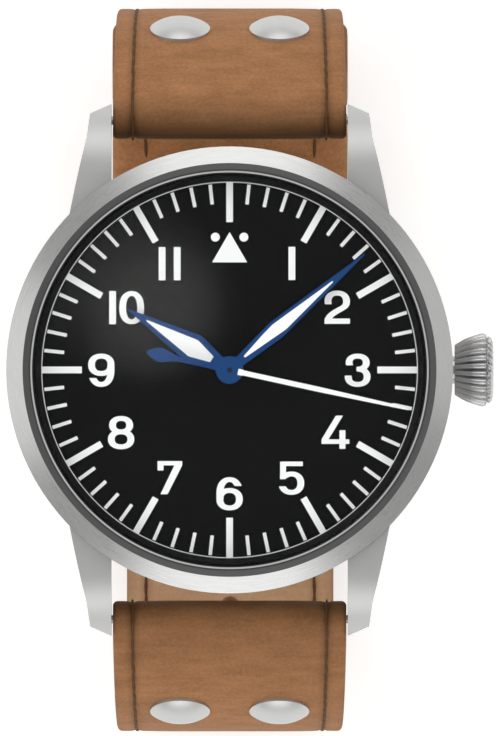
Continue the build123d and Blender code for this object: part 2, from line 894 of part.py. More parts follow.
def hour_wheel():
    """Wheel whose pipe carries the hour hand."""
    rim = wheel_outline(hour_teeth, motion_module, minute_wheel_angle)
    low = plate_high + motion_height / 2 + running_gap
    body = gear(rim, (0, 0), low, dial_low - running_gap - low)
    body += disc(hour_pipe_radius, low, hour_hand_low + hand_thickness)
    return body - disc(hour_bore, 0, cap_top)


def escape_wheel():
    """Wheel with leaning pointed teeth, on the last pinion of the train."""
    pitch = 360 / escape_teeth
    root = escape_tip_radius * escape_root_share
    points = []
    for tooth in range(escape_teeth):
        points.append(polar(root, pitch * tooth))
        points.append(polar(escape_tip_radius, pitch * (tooth + 1 / 2)))
        points.append(polar(root, pitch * (tooth + 1 / 3)))
    rim = make_face(Polyline(*points, close=True)) - Circle(escape_tip_radius * escape_rim_share)
    rim += Circle(escape_hub_radius)
    for arm in range(wheel_arms // 2):
        length = 2 * escape_tip_radius * (escape_rim_share + escape_root_share) / 2
        rim += Rot(0, 0, arm * 360 / wheel_arms) * Rectangle(length, wheel_arm_width / 2)
    leaves = pinion_outline(escape_pinion_teeth, escape_module, escape_place_angle + 180)
    body = gear(rim, escape_place, escape_low, wheel_thickness)
    body += gear(leaves, escape_place, bridge_high + running_gap, third_low - running_gap - bridge_high)
    return body + arbor(escape_place, bridge_high, plate_low)


# Escapement and balance
def pallet_fork():
    """Lever with two arms round the escape wheel and a fork at the balance."""
    to_wheel = facing(pallet_place, escape_place)
    to_balance = facing(pallet_place, balance_place)
    high = escape_low + wheel_thickness
    end = moved(pallet_place, fork_reach, to_balance)
    body = finger(pallet_place, end, fork_lever_width, escape_low, high)
    for side in (1, -1):
        tip = moved(pallet_place, fork_arm_reach, to_wheel + side * fork_arm_spread)
        body += finger(pallet_place, tip, fork_arm_width, escape_low, high)
    body += slab(fork_horn_width, fork_horn_width, escape_low, high, end, to_balance)
    slot = moved(end, fork_horn_width / 2, to_balance)
    body -= slab(fork_horn_width, fork_slot_width, 0, dial_low, slot, to_balance)
    pallet_floor = bridge_high + pallet_bridge_lift + pallet_bridge_thickness
    return body + arbor(pallet_place, pallet_floor, plate_low)


def balance_wheel():
    """Rim, two arms, staff and roller with its impulse pin."""
    high = balance_low + balance_rim_height
    body = ring(balance_radius, balance_radius - balance_rim_width, balance_low, high, balance_place)
    arms = (2 * balance_radius - balance_rim_width, balance_arm_width)
    body += slab(arms[0], arms[1], balance_low, balance_low + balance_arm_height, balance_place)
    body += disc(balance_staff_radius, cock_high, plate_low, balance_place)
    body += disc(pivot_radius, cock_high - jewel_thickness, cock_high, balance_place)
    body += disc(pivot_radius, plate_low, plate_low + jewel_thickness, balance_place)
    roller_low = escape_low + wheel_thickness + roller_height / 2
    body += disc(roller_radius, roller_low, roller_low + roller_height, balance_place)
    pin = moved(balance_place, roller_pin_reach, facing(balance_place, pallet_place))
    return body + disc(roller_pin_radius, escape_low, roller_low + roller_height, pin)


def hairspring():
    """Flat spiral of half circles round the balance staff, which widens at each one."""
    half = hairspring_width / 2
    arcs = []
    for turn in range(hairspring_turns):
        near = hairspring_start + turn * hairspring_pitch
        far = near + hairspring_pitch
        for step in (-half, half):
            across = near + step
            arcs.append(ThreePointArc((across, 0), (0, across), (-across, 0)))
            middle = (far - near) / 2
            arcs.append(ThreePointArc((-across, 0), (middle, -across - middle), (far + step, 0)))
    arcs.append(Line((hairspring_start - half, 0), (hairspring_start + half, 0)))
    arcs.append(Line((far - half, 0), (far + half, 0)))
    low = balance_low - hairspring_lift - hairspring_height
    return Pos(balance_place[0], balance_place[1], low) * extrude(make_face(arcs), hairspring_height)


# Barrel and winding wheels
def barrel_drum():
    """Toothed drum that holds the mainspring, open towards the dial."""
    rim = wheel_outline(barrel_teeth, barrel_module, barrel_place_angle + 180)
    inner = barrel_radius - barrel_wall - barrel_module
    root = barrel_module * (barrel_teeth / 2 - wheel_foot_share)
    body = gear(rim, barrel_place, barrel_low, barrel_teeth_height)
    body += disc(root, barrel_low, barrel_high, barrel_place)
    body -= disc(inner, barrel_low + barrel_floor, barrel_high + overrun, barrel_place)
    return body - disc(barrel_arbor_radius + barrel_bush, 0, dial_low, barrel_place)


def barrel_lid():
    """Lid snapped into the open side of the drum."""
    inner = barrel_radius - barrel_wall - barrel_module
    low = barrel_high - barrel_lid_thickness
    return ring(inner, barrel_arbor_radius + barrel_bush, low, barrel_high, barrel_place)


def mainspring():
    """Wound pack of the mainspring between the arbor and the wall of the drum."""
    outer = barrel_radius - barrel_wall - barrel_module - spring_pack_gap
    low = barrel_low + barrel_floor + spring_pack_gap
    high = barrel_high - barrel_lid_thickness - spring_pack_gap
    return ring(outer, barrel_core_radius + spring_pack_gap, low, high, barrel_place)


def barrel_arbor():
    """Arbor with the core that the spring hooks on, and its square for the ratchet wheel."""
    low = barrel_low + barrel_floor + spring_pack_gap
    high = barrel_high - barrel_lid_thickness - spring_pack_gap
    body = disc(barrel_arbor_radius, ratchet_high, barrel_seat_high + jewel_thickness, barrel_place)
    body += disc(barrel_core_radius, low, high, barrel_place)
    square = barrel_arbor_radius * sqrt(2)
    return body + slab(square, square, winding_low, ratchet_high, barrel_place)


def ratchet_wheel():
    """Wheel on the square of the barrel arbor."""
    towards = facing(barrel_place, crown_wheel_place)
    outline = wheel_outline(ratchet_teeth, winding_module, towards)
    square = barrel_arbor_radius * sqrt(2)
    outline -= Rectangle(square, square)
    return gear(outline, barrel_place, winding_low, ratchet_thickness)


def crown_wheel():
    """Wheel between the winding pinion and the ratchet wheel."""
    towards = facing(crown_wheel_place, barrel_place) + 180 / crown_wheel_teeth
    outline = wheel_outline(crown_wheel_teeth, winding_module, towards)
    outline -= Circle(crown_wheel_screw + running_gap)
    return gear(outline, crown_wheel_place, winding_low, crown_wheel_thickness)


def stem_gear(radius, tooth_count, depth, start, end):
    """Wheel round the stem with straight grooves for its teeth."""
    body = along_stem(radius, start, end)
    for tooth in range(tooth_count):
        side, up = polar(radius, tooth * 360 / tooth_count)
        cut = Plane((start, side, stem_height + up), x_dir=(0, 1, 0), z_dir=(1, 0, 0))
        body -= cut * extrude(Circle(depth), end - start)
    return body - along_stem(stem_radius + running_gap, start, end)


def winding_pinion():
    """Pinion that runs loose on the stem, above the crown wheel."""
    depth = winding_groove_width / 2
    return stem_gear(winding_pinion_radius, winding_teeth, depth, pinion_start, pinion_end)


def sliding_pinion():
    """Pinion that slides on the stem, with the waist that its lever holds."""
    depth = winding_groove_width / 2
    body = stem_gear(sliding_pinion_radius, winding_teeth, depth, sliding_start, sliding_end)
    middle = (sliding_start + sliding_end) / 2
    low, high = middle - sliding_waist_width / 2, middle + sliding_waist_width / 2
    collar = along_stem(sliding_pinion_radius + overrun, low, high)
    collar -= along_stem(sliding_waist_radius, sliding_start, sliding_end)
    return body - collar


def click_places():
    """Places of the click's tip, beside the ratchet wheel, and of its pin."""
    reach = winding_module * (ratchet_teeth / 2 + wheel_head_share) + click_gap + click_width / 2
    tip = moved(barrel_place, reach, click_place_angle)
    return tip, moved(tip, click_length, click_place_angle + 90)


def click():
    """Pawl that rests beside the teeth of the ratchet wheel."""
    tip, pin = click_places()
    body = finger(pin, tip, click_width, winding_low, winding_low + click_height)
    return body - disc(click_pin_radius + running_gap, 0, bridge_high, pin)


# Plates and bridges
def feet(shares, angles):
    """Places of a bridge's feet on the main plate."""
    return [polar(share * plate_radius, angle) for share, angle in zip(shares, angles)]


train_feet = feet(train_foot_distance_shares, train_foot_angles)
barrel_feet = feet(barrel_foot_distance_shares, barrel_foot_angles)
cock_foot = polar(cock_foot_distance_share * plate_radius, cock_foot_angle)
pallet_foot = polar(pallet_foot_distance_share * plate_radius, pallet_foot_angle)
jewel_places = (third_place, escape_place)


def mainplate():
    """Plate that carries the movement, recessed for the barrel and bored for every arbor."""
    body = disc(plate_radius, plate_low, plate_high)
    body -= disc(barrel_radius + ring_gap + seat_gap, 0, barrel_seat_high, barrel_place)
    body -= disc(centre_tube_radius + running_gap, 0, dial_low)
    pivot_high = barrel_seat_high + jewel_thickness + seat_gap
    body -= disc(barrel_arbor_radius + running_gap, 0, pivot_high, barrel_place)
    for place in (*jewel_places, pallet_place, balance_place):
        body -= disc(jewel_radius, 0, dial_low, place)
    for angle in dial_foot_angles:
        body -= disc(dial_foot_radius + seat_gap, 0, dial_low, polar(dial_foot_reach, angle))
    for place in (*train_feet, *barrel_feet, cock_foot, pallet_foot):
        body -= disc(screw_radius, 0, plate_low + screw_depth, place)
    channel = along_stem(winding_pinion_radius + pinion_window_gap, sliding_start - crown_pull, bore_radius)
    body -= channel
    return body + disc(arbor_radius, plate_high, dial_low - running_gap, minute_wheel_place)


def jewelled(body, places, low, high):
    """Bridge bored for the jewels of some arbors."""
    for place in places:
        body -= disc(jewel_radius, low, high, place)
    return body


def bridge_foot(place, body, low, high):
    """Foot of a bridge against the main plate, bored for its screw."""
    body += disc(foot_radius, low, high, place)
    return body


def screw_bores(body, places, low):
    """Through holes for the bridge screws, with room for their heads."""
    for place in places:
        body -= disc(screw_radius, 0, plate_low, place)
        body -= disc(screw_head_radius, 0, low + screw_head_height, place)
    return body


def barrel_bridge():
    """Large bridge over the barrel, with recesses for the winding wheels."""
    body = disc(bridge_radius, bridge_low, bridge_high)
    normal = polar(1, bridge_line_angle)
    middle = bridge_line_distance - bridge_radius
    size = 2 * bridge_radius
    cut_place = (normal[0] * middle, normal[1] * middle)
    body -= slab(size, 2 * size, 0, plate_low, cut_place, bridge_line_angle)
    for place in barrel_feet:
        body = bridge_foot(place, body, bridge_high, plate_low)
    body = screw_bores(body, barrel_feet, bridge_low)
    ratchet_room = winding_module * (ratchet_teeth / 2 + 1) + seat_gap
    crown_room = winding_module * (crown_wheel_teeth / 2 + 1) + seat_gap
    body -= disc(ratchet_room, 0, ratchet_high + seat_gap, barrel_place)
    body -= disc(crown_room, 0, crown_wheel_high + seat_gap, crown_wheel_place)
    body += disc(crown_wheel_screw, winding_low, crown_wheel_high + seat_gap, crown_wheel_place)
    body -= disc(barrel_arbor_radius + running_gap, 0, bridge_high + overrun, barrel_place)
    tip, pin = click_places()
    room = click_width + 2 * click_swing
    body -= finger(pin, tip, room, 0, winding_low + click_height + seat_gap)
    body += disc(click_pin_radius, winding_low, winding_low + click_height + seat_gap, pin)
    radius = winding_pinion_radius + pinion_window_gap
    return body - along_stem(radius, sliding_start - crown_pull - pinion_window_gap, bore_radius)


def train_bridge():
    """Branched bridge over the fourth, third and escape wheels."""
    body = finger((0, 0), third_place, finger_width, bridge_low, bridge_high)
    body += finger((0, 0), escape_place, finger_width, bridge_low, bridge_high)
    for start, foot in zip(jewel_places, train_feet):
        body += finger(start, foot, finger_width, bridge_low, bridge_high)
        body = bridge_foot(foot, body, bridge_high, plate_low)
    body = screw_bores(body, train_feet, bridge_low)
    return jewelled(body, ((0, 0), *jewel_places), bridge_high - jewel_thickness, bridge_high)


def balance_cock():
    """Cock over the balance, on a foot of its own."""
    body = finger(balance_place, cock_foot, finger_width, cock_low, cock_high)
    body = bridge_foot(cock_foot, body, cock_high, plate_low)
    body = screw_bores(body, (cock_foot,), cock_low)
    return jewelled(body, (balance_place,), cock_high - jewel_thickness, cock_high)


def pallet_bridge():
    """Small bridge under the pallet fork."""
    high = pallet_bridge_low + pallet_bridge_thickness
    body = finger(pallet_place, pallet_foot, pallet_bridge_width, pallet_bridge_low, high)
    body = bridge_foot(pallet_foot, body, pallet_bridge_low, plate_low)
    body = screw_bores(body, (pallet_foot,), pallet_bridge_low)
    return jewelled(body, (pallet_place,), high - jewel_thickness, high)


def bridge_screws():
    """Slotted screws that hold the bridges to the main plate."""
    screws = []
    seats = [(place, bridge_low) for place in (*train_feet, *barrel_feet)]
    seats += [(cock_foot, cock_low), (pallet_foot, pallet_bridge_low)]
    for place, low in seats:
        screw = disc(screw_head_radius, low, low + screw_head_height, place)
        screw += disc(screw_radius, low, plate_low + screw_depth, place)
        screws.append(screw - slab(2 * screw_head_radius, screw_slot_width, 0, low + screw_slot_depth, place))
    return screws


def jewels():
    """Pierced jewels in the main plate and in the bridges."""
    pallet_high = pallet_bridge_low + pallet_bridge_thickness
    tops = [(place, plate_low) for place in (*jewel_places, pallet_place, balance_place)]
    tops += [(place, bridge_high - jewel_thickness) for place in ((0, 0), *jewel_places)]
    tops += [(balance_place, cock_high - jewel_thickness), (pallet_place, pallet_high - jewel_thickness)]
    return [ring(jewel_radius, pivot_radius + pivot_gap, low, low + jewel_thickness, at) for at, low in tops]


def movement_ring():
    """Ring that centres the movement in the case, notched for the stem."""
    body = ring(bore_radius - seat_gap, plate_radius + seat_gap, dial_low - ring_height, dial_low)
    return body - along_stem(tube_radius + ring_gap, plate_radius - overrun, bore_radius + overrun)


# Crown, stem and case tube
def crown():
    """Onion crown with fluted sides, hollow round the case tube."""
    start = case_radius + crown_gap
    end = start + crown_length
    swell = start + crown_swell_share * crown_length
    widest = start + crown_widest_share * crown_length
    edge = start + crown_edge_share * crown_length
    bulge = crown_neck_radius + crown_bulge_share * (crown_radius - crown_neck_radius)
    side = Line((start, 0), (start, crown_neck_radius))
    side += ThreePointArc((start, crown_neck_radius), (swell, bulge), (widest, crown_radius))
    side += Line((widest, crown_radius), (edge, crown_edge_radius))
    side += Line((edge, crown_edge_radius), (end, crown_end_radius))
    side += Line((end, crown_end_radius), (end, 0)) + Line((end, 0), (start, 0))
    body = revolve(Plane.XY * make_face(side), Axis.X)
    for flute in range(crown_flutes):
        angle = flute * 360 / crown_flutes
        reach = crown_radius - flute_depth + flute_radius
        groove = Rot(0, 90, 0) * extrude(Circle(flute_radius), end + overrun)
        body -= Rot(angle, 0, 0) * Pos(0, 0, reach) * groove
    body -= Rot(0, 90, 0) * extrude(Circle(crown_bore_radius), start + crown_bore_depth)
    body -= Rot(0, 90, 0) * extrude(Circle(stem_radius), start + crown_bore_depth + stem_thread_depth)
    return Pos(0, 0, stem_height) * body


def winding_stem():
    """Stem from its pilot in the movement to its thread in the crown."""
    end = case_radius + crown_gap + crown_bore_depth + stem_thread_depth
    start = sliding_start - crown_pull
    return along_stem(stem_radius, start, end)


def crown_gasket():
    """Rubber ring in the crown, round the case tube."""
    start = case_radius + crown_gap + crown_gasket_inset
    body = along_stem(crown_bore_radius, start, start + crown_gasket_length)
    return body - along_stem(tube_radius + running_gap, start, start + crown_gasket_length)


def case_tube():
    """Tube pressed into the case, which the crown slides over."""
    end = case_radius + crown_gap + crown_bore_depth - tube_end_gap
    body = along_stem(tube_radius, bore_radius, end)
    return body - along_stem(tube_bore_radius, bore_radius, end)


# Spring bars
def spring_bar_barrels():
    """Tubes of the two spring bars, inside the strap's ends."""
    half = strap_width / 2 + strap_side_gap - spring_bar_inset
    return [bar_along_x(side * bar_reach, bar_height, spring_bar_radius, -half, half) for side in (1, -1)]


def spring_bar_tips():
    """Sprung tips of the bars, in the holes of the lugs."""
    half = strap_width / 2 + strap_side_gap - spring_bar_inset
    tips = []
    for side in (1, -1):
        tips.append(bar_along_x(side * bar_reach, bar_height, spring_bar_tip_radius, half, bar_tip_end))
        tips.append(bar_along_x(side * bar_reach, bar_height, spring_bar_tip_radius, -bar_tip_end, -half))
    return tips


def bar_along_x(across, height, radius, start, end):
    """Round bar along X between two distances from the middle."""
    plane = Plane((start, across, height), x_dir=(0, 1, 0), z_dir=(1, 0, 0))
    return plane * extrude(Circle(radius), end - start)


# Strap: each half is drawn at the 12, and the tail is mirrored to the 6
def arc_radius(line, reach):
    """Radius of the arc that meets a vertical line and runs round the strap's end.

    The reach is the end's radius, positive where the arc holds it inside.
    """
    across = bar_reach - line
    rise = bar_height + wide_depth
    return (reach**2 - across**2 - rise**2) / (2 * (across + reach))


def arc_start(line, arc):
    """Angle at which an arc above a vertical line starts, in degrees."""
    return degrees(atan2(bar_height + wide_depth, bar_reach - (line - arc)))


outer_arc = arc_radius(strap_reach, eye_radius)
inner_arc = arc_radius(strap_reach - strap_thickness, -eye_radius)
rivet_angle = rivet_angle_share * arc_start(strap_reach, outer_arc)


def rail(depth, turn_height, turn_angle, run, start_share=1):
    """Edges of a line along the strap, at a depth under its outer face on the long side."""
    arc = outer_arc if depth == 0 else inner_arc + strap_thickness - depth
    line = strap_reach - depth
    start = start_share * arc_start(line, arc)
    turn = turn_radius - depth
    edges = [CenterArc((line - arc, -wide_depth), arc, start, -start)]
    edges.append(Line((line, -wide_depth), (line, turn_height)))
    edges.append(CenterArc((side_centre, turn_height), turn, 0, -turn_angle))
    last = edges[-1] @ 1
    way = Vector(-sin(radians(turn_angle)), -cos(radians(turn_angle)))
    edges.append(Line(last, last + way * run))
    return edges


def band(outer_depth, inner_depth, turn_height, turn_angle, run, start_share=1):
    """Flat face between two lines along the strap."""
    outer = rail(outer_depth, turn_height, turn_angle, run, start_share)
    inner = rail(inner_depth, turn_height, turn_angle, run, start_share)
    edges = outer + inner
    edges.append(Line(outer[-1] @ 1, inner[-1] @ 1))
    edges.append(Line(outer[0] @ 0, inner[0] @ 0))
    return make_face(edges)


def strap_blank(turn_height):
    """Block with the strap's front outline, wide at the lugs and narrow below."""
    top = bar_height + eye_radius + overrun
    low = -strap_depth - overrun
    wide, shoulder, narrow = strap_width / 2, strap_shoulder_width / 2, strap_buckle_width / 2
    right = ((wide, top), (wide, bar_height), (shoulder, -wide_depth), (narrow, turn_height), (narrow, low))
    points = list(right) + [(-x, z) for x, z in reversed(right)]
    face = Plane.XZ * make_face(Polyline(*points, close=True))
    return extrude(face, strap_reach + overrun, both=True)


def strap_layer(face, turn_height):
    """Layer of the strap, from its side face and the front outline."""
    return extrude(Plane.YZ * face, strap_width, both=True) & strap_blank(turn_height)


def lining_face(turn_height, turn_angle, run):
    """Side face of the lining, which starts below the strap's end."""
    depth = strap_thickness - lining_thickness
    return band(depth, strap_thickness, turn_height, turn_angle, run, lining_start_share)


def leather_face(turn_height, turn_angle, run):
    """Side face of the padded leather, wrapped round the spring bar."""
    face = band(0, strap_thickness, turn_height, turn_angle, run)
    face += Pos(bar_reach, bar_height) * Circle(eye_radius)
    face -= lining_face(turn_height, turn_angle, run)
    return face - Pos(bar_reach, bar_height) * Circle(spring_bar_radius + bar_hole_gap)


def rivet_plane(side):
    """Plane on the outer face of the strap where a rivet sits."""
    angle = radians(rivet_angle)
    centre = strap_reach - outer_arc
    place = (side * rivet_spacing / 2, centre + outer_arc * cos(angle), -wide_depth + outer_arc * sin(angle))
    return Plane(place, x_dir=(1, 0, 0), z_dir=(0, cos(angle), sin(angle)))


def wall_at_rivet():
    """Thickness of the strap under a rivet."""
    angle = radians(rivet_angle)
    shift = (strap_reach - outer_arc) - (strap_reach - strap_thickness - inner_arc)
    across = shift + outer_arc * cos(angle)
    up = outer_arc * sin(angle)
    forward = across * cos(angle) + up * sin(angle)
    return forward - sqrt(forward**2 - across**2 - up**2 + inner_arc**2)


def rivet():
    """Domed rivet through the strap, with a small washer inside."""
    low = -wall_at_rivet() - rivet_back_height / 2
    high = low + rivet_back_height
    corners = (
        (0, rivet_height),
        (0, low),
        (rivet_back_radius, low),
        (rivet_back_radius, high),
        (rivet_shank_radius, high),
        (rivet_shank_radius, -rivet_sink),
        (rivet_radius, -rivet_sink),
        (rivet_radius, rivet_rim),
    )
    side = Polyline(*corners)
    side += dome(rivet_radius, rivet_rim, rivet_height - rivet_rim)
    return revolve(Plane.XZ * make_face(side), Axis.Z)


def strap_rivets():
    """The two rivets of one half of the strap."""
    return [rivet_plane(side) * rivet() for side in (1, -1)]


def without(body, tools):
    """Body with several tools cut out of it."""
    for tool in tools:
        body -= tool
    return body


def tail_plane(distance):
    """Plane across the tail's middle at a distance from its tip, facing out."""
    last = radians(tail_turn_angle)
    if distance <= tail_run:
        angle = last
        extra = tail_run - distance
    else:
        angle = last - (distance - tail_run) / middle_turn
        extra = 0
    out = (cos(angle), -sin(angle))
    way = (-sin(angle), -cos(angle))
    across = side_centre + middle_turn * out[0] + extra * way[0]
    up = tail_turn_height + middle_turn * out[1] + extra * way[1]
    return Plane((0, across, up), x_dir=(1, 0, 0), z_dir=(0, out[0], out[1]))


def tail_tip_cut():
    """What is cut from the tail's square end to leave its rounded point."""
    half = strap_buckle_width / 2
    tip = Line((half, -tail_tip_length), (-half, -tail_tip_length))
    bulge = half * tail_tip_bulge_share
    middle = -tail_tip_length * (1 - tail_tip_bulge_share)
    tip += ThreePointArc((half, -tail_tip_length), (bulge, middle), (0, 0))
    tip += ThreePointArc((-half, -tail_tip_length), (-bulge, middle), (0, 0))
    length = tail_tip_length + overrun
    block = Pos(0, overrun - length / 2) * Rectangle(2 * half + overrun, length)
    face = tail_plane(0) * (block - make_face(tip))
    return extrude(face, strap_thickness, both=True)


def tail_holes():
    """Pins that punch the holes for the tongue."""
    pins = []
    for hole in range(tail_hole_count):
        plane = tail_plane(tail_hole_start + hole * tail_hole_pitch)
        pins.append(extrude(plane * Circle(tail_hole_radius), strap_thickness, both=True))
    return pins


def tail_half(face):
    """Layer of the long half of the strap, before it is mirrored to the 6."""
    body = strap_layer(face, tail_turn_height)
    body = without(body, tail_holes() + strap_rivets())
    return mirror(body - tail_tip_cut(), about=Plane.XZ)


def buckle_half(face):
    """Layer of the short half of the strap, notched for the tongue."""
    body = strap_layer(face, buckle_turn_height)
    start = buckle_bar_reach - buckle_eye_radius - overrun
    end = buckle_bar_reach + tongue_notch_depth
    tall = 2 * (strap_thickness + buckle_eye_radius)
    notch = Box(tongue_width + 2 * tongue_side_gap, end - start, tall)
    return without(body - Pos(0, (start + end) / 2, buckle_bar_height) * notch, strap_rivets())


def buckle_leather_face():
    """Side face of the short half, with the loop for the buckle's bar."""
    face = leather_face(buckle_turn_height, buckle_angle, buckle_run)
    place = Pos(buckle_bar_reach, buckle_bar_height)
    face += place * Circle(buckle_eye_radius)
    return face - place * Circle(buckle_bar_radius + bar_hole_gap)


def buckle_lining_face():
    """Side face of the short half's lining, cut back from the loop."""
    face = lining_face(buckle_turn_height, buckle_angle, buckle_run)
    return face - Pos(buckle_bar_reach, buckle_bar_height) * Circle(buckle_eye_radius)


# Keepers, buckle and tongue
def keeper(angle, length):
    """Leather loop round the short half, with room for the tail outside it."""
    way = (sin(radians(angle)), -cos(radians(angle)))
    origin = (0, side_centre + middle_turn * way[0], buckle_turn_height + middle_turn * way[1])
    low = -strap_thickness / 2 - keeper_inner_gap
    high = strap_thickness / 2 + keeper_room
    width = strap_buckle_width + 2 * keeper_side_gap
    hollow = Pos(0, (low + high) / 2) * Rectangle(width, high - low)
    outer = Pos(0, (low + high) / 2)
    outer *= RectangleRounded(width + 2 * keeper_wall, high - low + 2 * keeper_wall, keeper_corner)
    plane = Plane(origin, x_dir=(-1, 0, 0), z_dir=(0, way[1], -way[0]))
    return extrude(plane * (outer - hollow), length / 2, both=True)


def buckle_plane():
    """Plane of the buckle at its bar: local Y points away from the strap, local Z into the loop."""
    droop = radians(buckle_droop)
    origin = (0, buckle_bar_reach, buckle_bar_height)
    return Plane(origin, x_dir=(-1, 0, 0), z_dir=(0, -sin(droop), cos(droop)))


def buckle_frame():
    """Steel frame with side rails, a crossbar and a rest for the tongue."""
    inner = strap_buckle_width / 2 + buckle_side_gap
    outer = inner + buckle_rail
    depth = buckle_length + buckle_back
    middle = (buckle_length - buckle_back) / 2
    face = Pos(0, middle - buckle_corner / 2) * Rectangle(2 * outer, depth - buckle_corner)
    face += Pos(0, middle) * RectangleRounded(2 * outer, depth, buckle_corner)
    window = buckle_length - buckle_crossbar + buckle_back + overrun
    face -= Pos(0, window / 2 - buckle_back - overrun) * Rectangle(2 * inner, window)
    half = buckle_thickness / 2
    body = buckle_plane() * extrude(face, half, both=True)
    body -= bar_along_x(buckle_bar_reach, buckle_bar_height, buckle_bar_radius + bar_hole_gap, -outer, outer)
    groove_depth = tongue_thickness + seat_gap
    groove = Box(tongue_width + 2 * tongue_side_gap, buckle_crossbar + overrun, 2 * groove_depth)
    return body - buckle_plane() * Pos(0, buckle_length - buckle_crossbar / 2, -half) * groove


def buckle_bar():
    """Bar that the buckle and the tongue turn on, through the strap's loop."""
    end = strap_buckle_width / 2 + buckle_side_gap + buckle_rail - buckle_bar_inset
    return bar_along_x(buckle_bar_reach, buckle_bar_height, buckle_bar_radius, -end, end)


def buckle_tongue():
    """Flat steel tongue with a rolled eye round the bar."""
    half = tongue_width / 2
    length = buckle_length - tongue_tip_gap
    blade = Pos(0, (length - half) / 2) * Rectangle(tongue_width, length - half)
    blade += Pos(0, length - half) * Circle(half)
    low = -buckle_thickness / 2
    body = buckle_plane() * Pos(0, 0, low) * extrude(blade, tongue_thickness)
    body += bar_along_x(buckle_bar_reach, buckle_bar_height, tongue_hub_radius, -half, half)
    bore = buckle_bar_radius + bar_hole_gap
    return body - bar_along_x(buckle_bar_reach, buckle_bar_height, bore, -half, half)


def write(name, shape):
    """Save one node, which may be a group of separate solids."""
    if isinstance(shape, list):
        shape = Compound(children=[solid for piece in shape for solid in piece.solids()])
    export_step(shape, f"parts/{name}.step")


def main():
    """Build and save every node."""
    os.makedirs("parts", exist_ok=True)
    write("case_middle", case_middle())
    write("bezel", bezel())
    write("crystal", crystal())
    write("crystal_gasket", crystal_gasket())
    write("flange_ring", flange_ring())
    write("case_back", case_back())
    write("case_back_gasket", case_back_gasket())
    write("dial", dial())
    write("dial_markers", dial_markers())
    write("hour_hand", hour_hand())
    write("hour_hand_lume", hour_hand_lume())
    write("minute_hand", minute_hand())
    write("minute_hand_lume", minute_hand_lume())
    write("seconds_hand", seconds_hand())
    write("fourth_wheel", fourth_wheel())
    write("third_wheel", third_wheel())
    write("centre_wheel", centre_wheel())
    write("cannon_pinion", cannon_pinion())
    write("minute_wheel", minute_wheel())
    write("hour_wheel", hour_wheel())
    write("escape_wheel", escape_wheel())
    write("pallet_fork", pallet_fork())
    write("balance_wheel", balance_wheel())
    write("hairspring", hairspring())
    write("barrel_drum", barrel_drum())
    write("barrel_lid", barrel_lid())
    write("mainspring", mainspring())
    write("barrel_arbor", barrel_arbor())
    write("ratchet_wheel", ratchet_wheel())
    write("crown_wheel", crown_wheel())
    write("winding_pinion", winding_pinion())
    write("sliding_pinion", sliding_pinion())
    write("click", click())
    write("mainplate", mainplate())
    write("barrel_bridge", barrel_bridge())
    write("train_bridge", train_bridge())
    write("balance_cock", balance_cock())
    write("pallet_bridge", pallet_bridge())
    write("bridge_screws", bridge_screws())
    write("jewels", jewels())
    write("movement_ring", movement_ring())
    write("case_tube", case_tube())
    write("crown", crown())
    write("winding_stem", winding_stem())
    write("crown_gasket", crown_gasket())
    write("spring_bar_barrels", spring_bar_barrels())
    write("spring_bar_tips", spring_bar_tips())
    write("buckle_strap_leather", buckle_half(buckle_leather_face()))
    write("buckle_strap_lining", buckle_half(buckle_lining_face()))
    write("buckle_strap_rivets", strap_rivets())
    write("tail_strap_leather", tail_half(leather_face(tail_turn_height, tail_turn_angle, tail_run)))
    write("tail_strap_lining", tail_half(lining_face(tail_turn_height, tail_turn_angle, tail_run)))
    write("tail_strap_rivets", [mirror(piece, about=Plane.XZ) for piece in strap_rivets()])
    write("fixed_keeper", keeper(fixed_keeper_angle, fixed_keeper_length))
    write("free_keeper", keeper(free_keeper_angle, free_keeper_length))
    write("buckle_frame", buckle_frame())
    write("buckle_bar", buckle_bar())
    write("buckle_tongue", buckle_tongue())


if __name__ == "__main__":
    main()
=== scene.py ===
"""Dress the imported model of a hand-wound pilot watch on a riveted leather strap."""
import json
import logging
from dataclasses import dataclass
from enum import Enum
from math import atan2, copysign, cos, degrees, exp, hypot, pi, radians, sin, sqrt

import bmesh
import bpy
from mathutils import Matrix, Vector
from mathutils.geometry import delaunay_2d_cdt


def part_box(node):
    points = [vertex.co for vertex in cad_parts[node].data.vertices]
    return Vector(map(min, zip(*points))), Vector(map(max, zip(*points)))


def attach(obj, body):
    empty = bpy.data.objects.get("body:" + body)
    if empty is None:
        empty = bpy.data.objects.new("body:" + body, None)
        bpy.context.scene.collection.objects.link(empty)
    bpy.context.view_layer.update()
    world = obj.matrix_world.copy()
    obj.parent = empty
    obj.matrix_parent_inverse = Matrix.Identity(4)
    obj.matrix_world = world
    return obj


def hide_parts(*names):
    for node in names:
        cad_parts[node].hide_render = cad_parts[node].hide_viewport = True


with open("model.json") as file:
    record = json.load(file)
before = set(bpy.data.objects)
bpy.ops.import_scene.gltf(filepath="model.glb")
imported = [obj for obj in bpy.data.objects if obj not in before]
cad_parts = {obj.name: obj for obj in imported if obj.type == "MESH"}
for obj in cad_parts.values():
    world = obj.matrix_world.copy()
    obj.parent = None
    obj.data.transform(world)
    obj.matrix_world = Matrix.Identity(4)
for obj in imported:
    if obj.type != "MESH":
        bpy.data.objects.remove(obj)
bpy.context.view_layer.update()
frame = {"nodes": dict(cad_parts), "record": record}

MM = 0.001
log = logging.getLogger("pilot_watch")

Point = tuple[float, float]
Colour = tuple[float, float, float, float]
Tree = bpy.types.NodeTree
Socket = bpy.types.NodeSocket
Material = bpy.types.Material
Piece = bpy.types.Object


@dataclass(frozen=True)
class Watch:
    """Places on the watch that several pieces share, in millimetres."""

    stem_height: float = 3.9
    dial_high: float = 8.0
    case_height: float = 10.0
    floor_height: float = -55.15


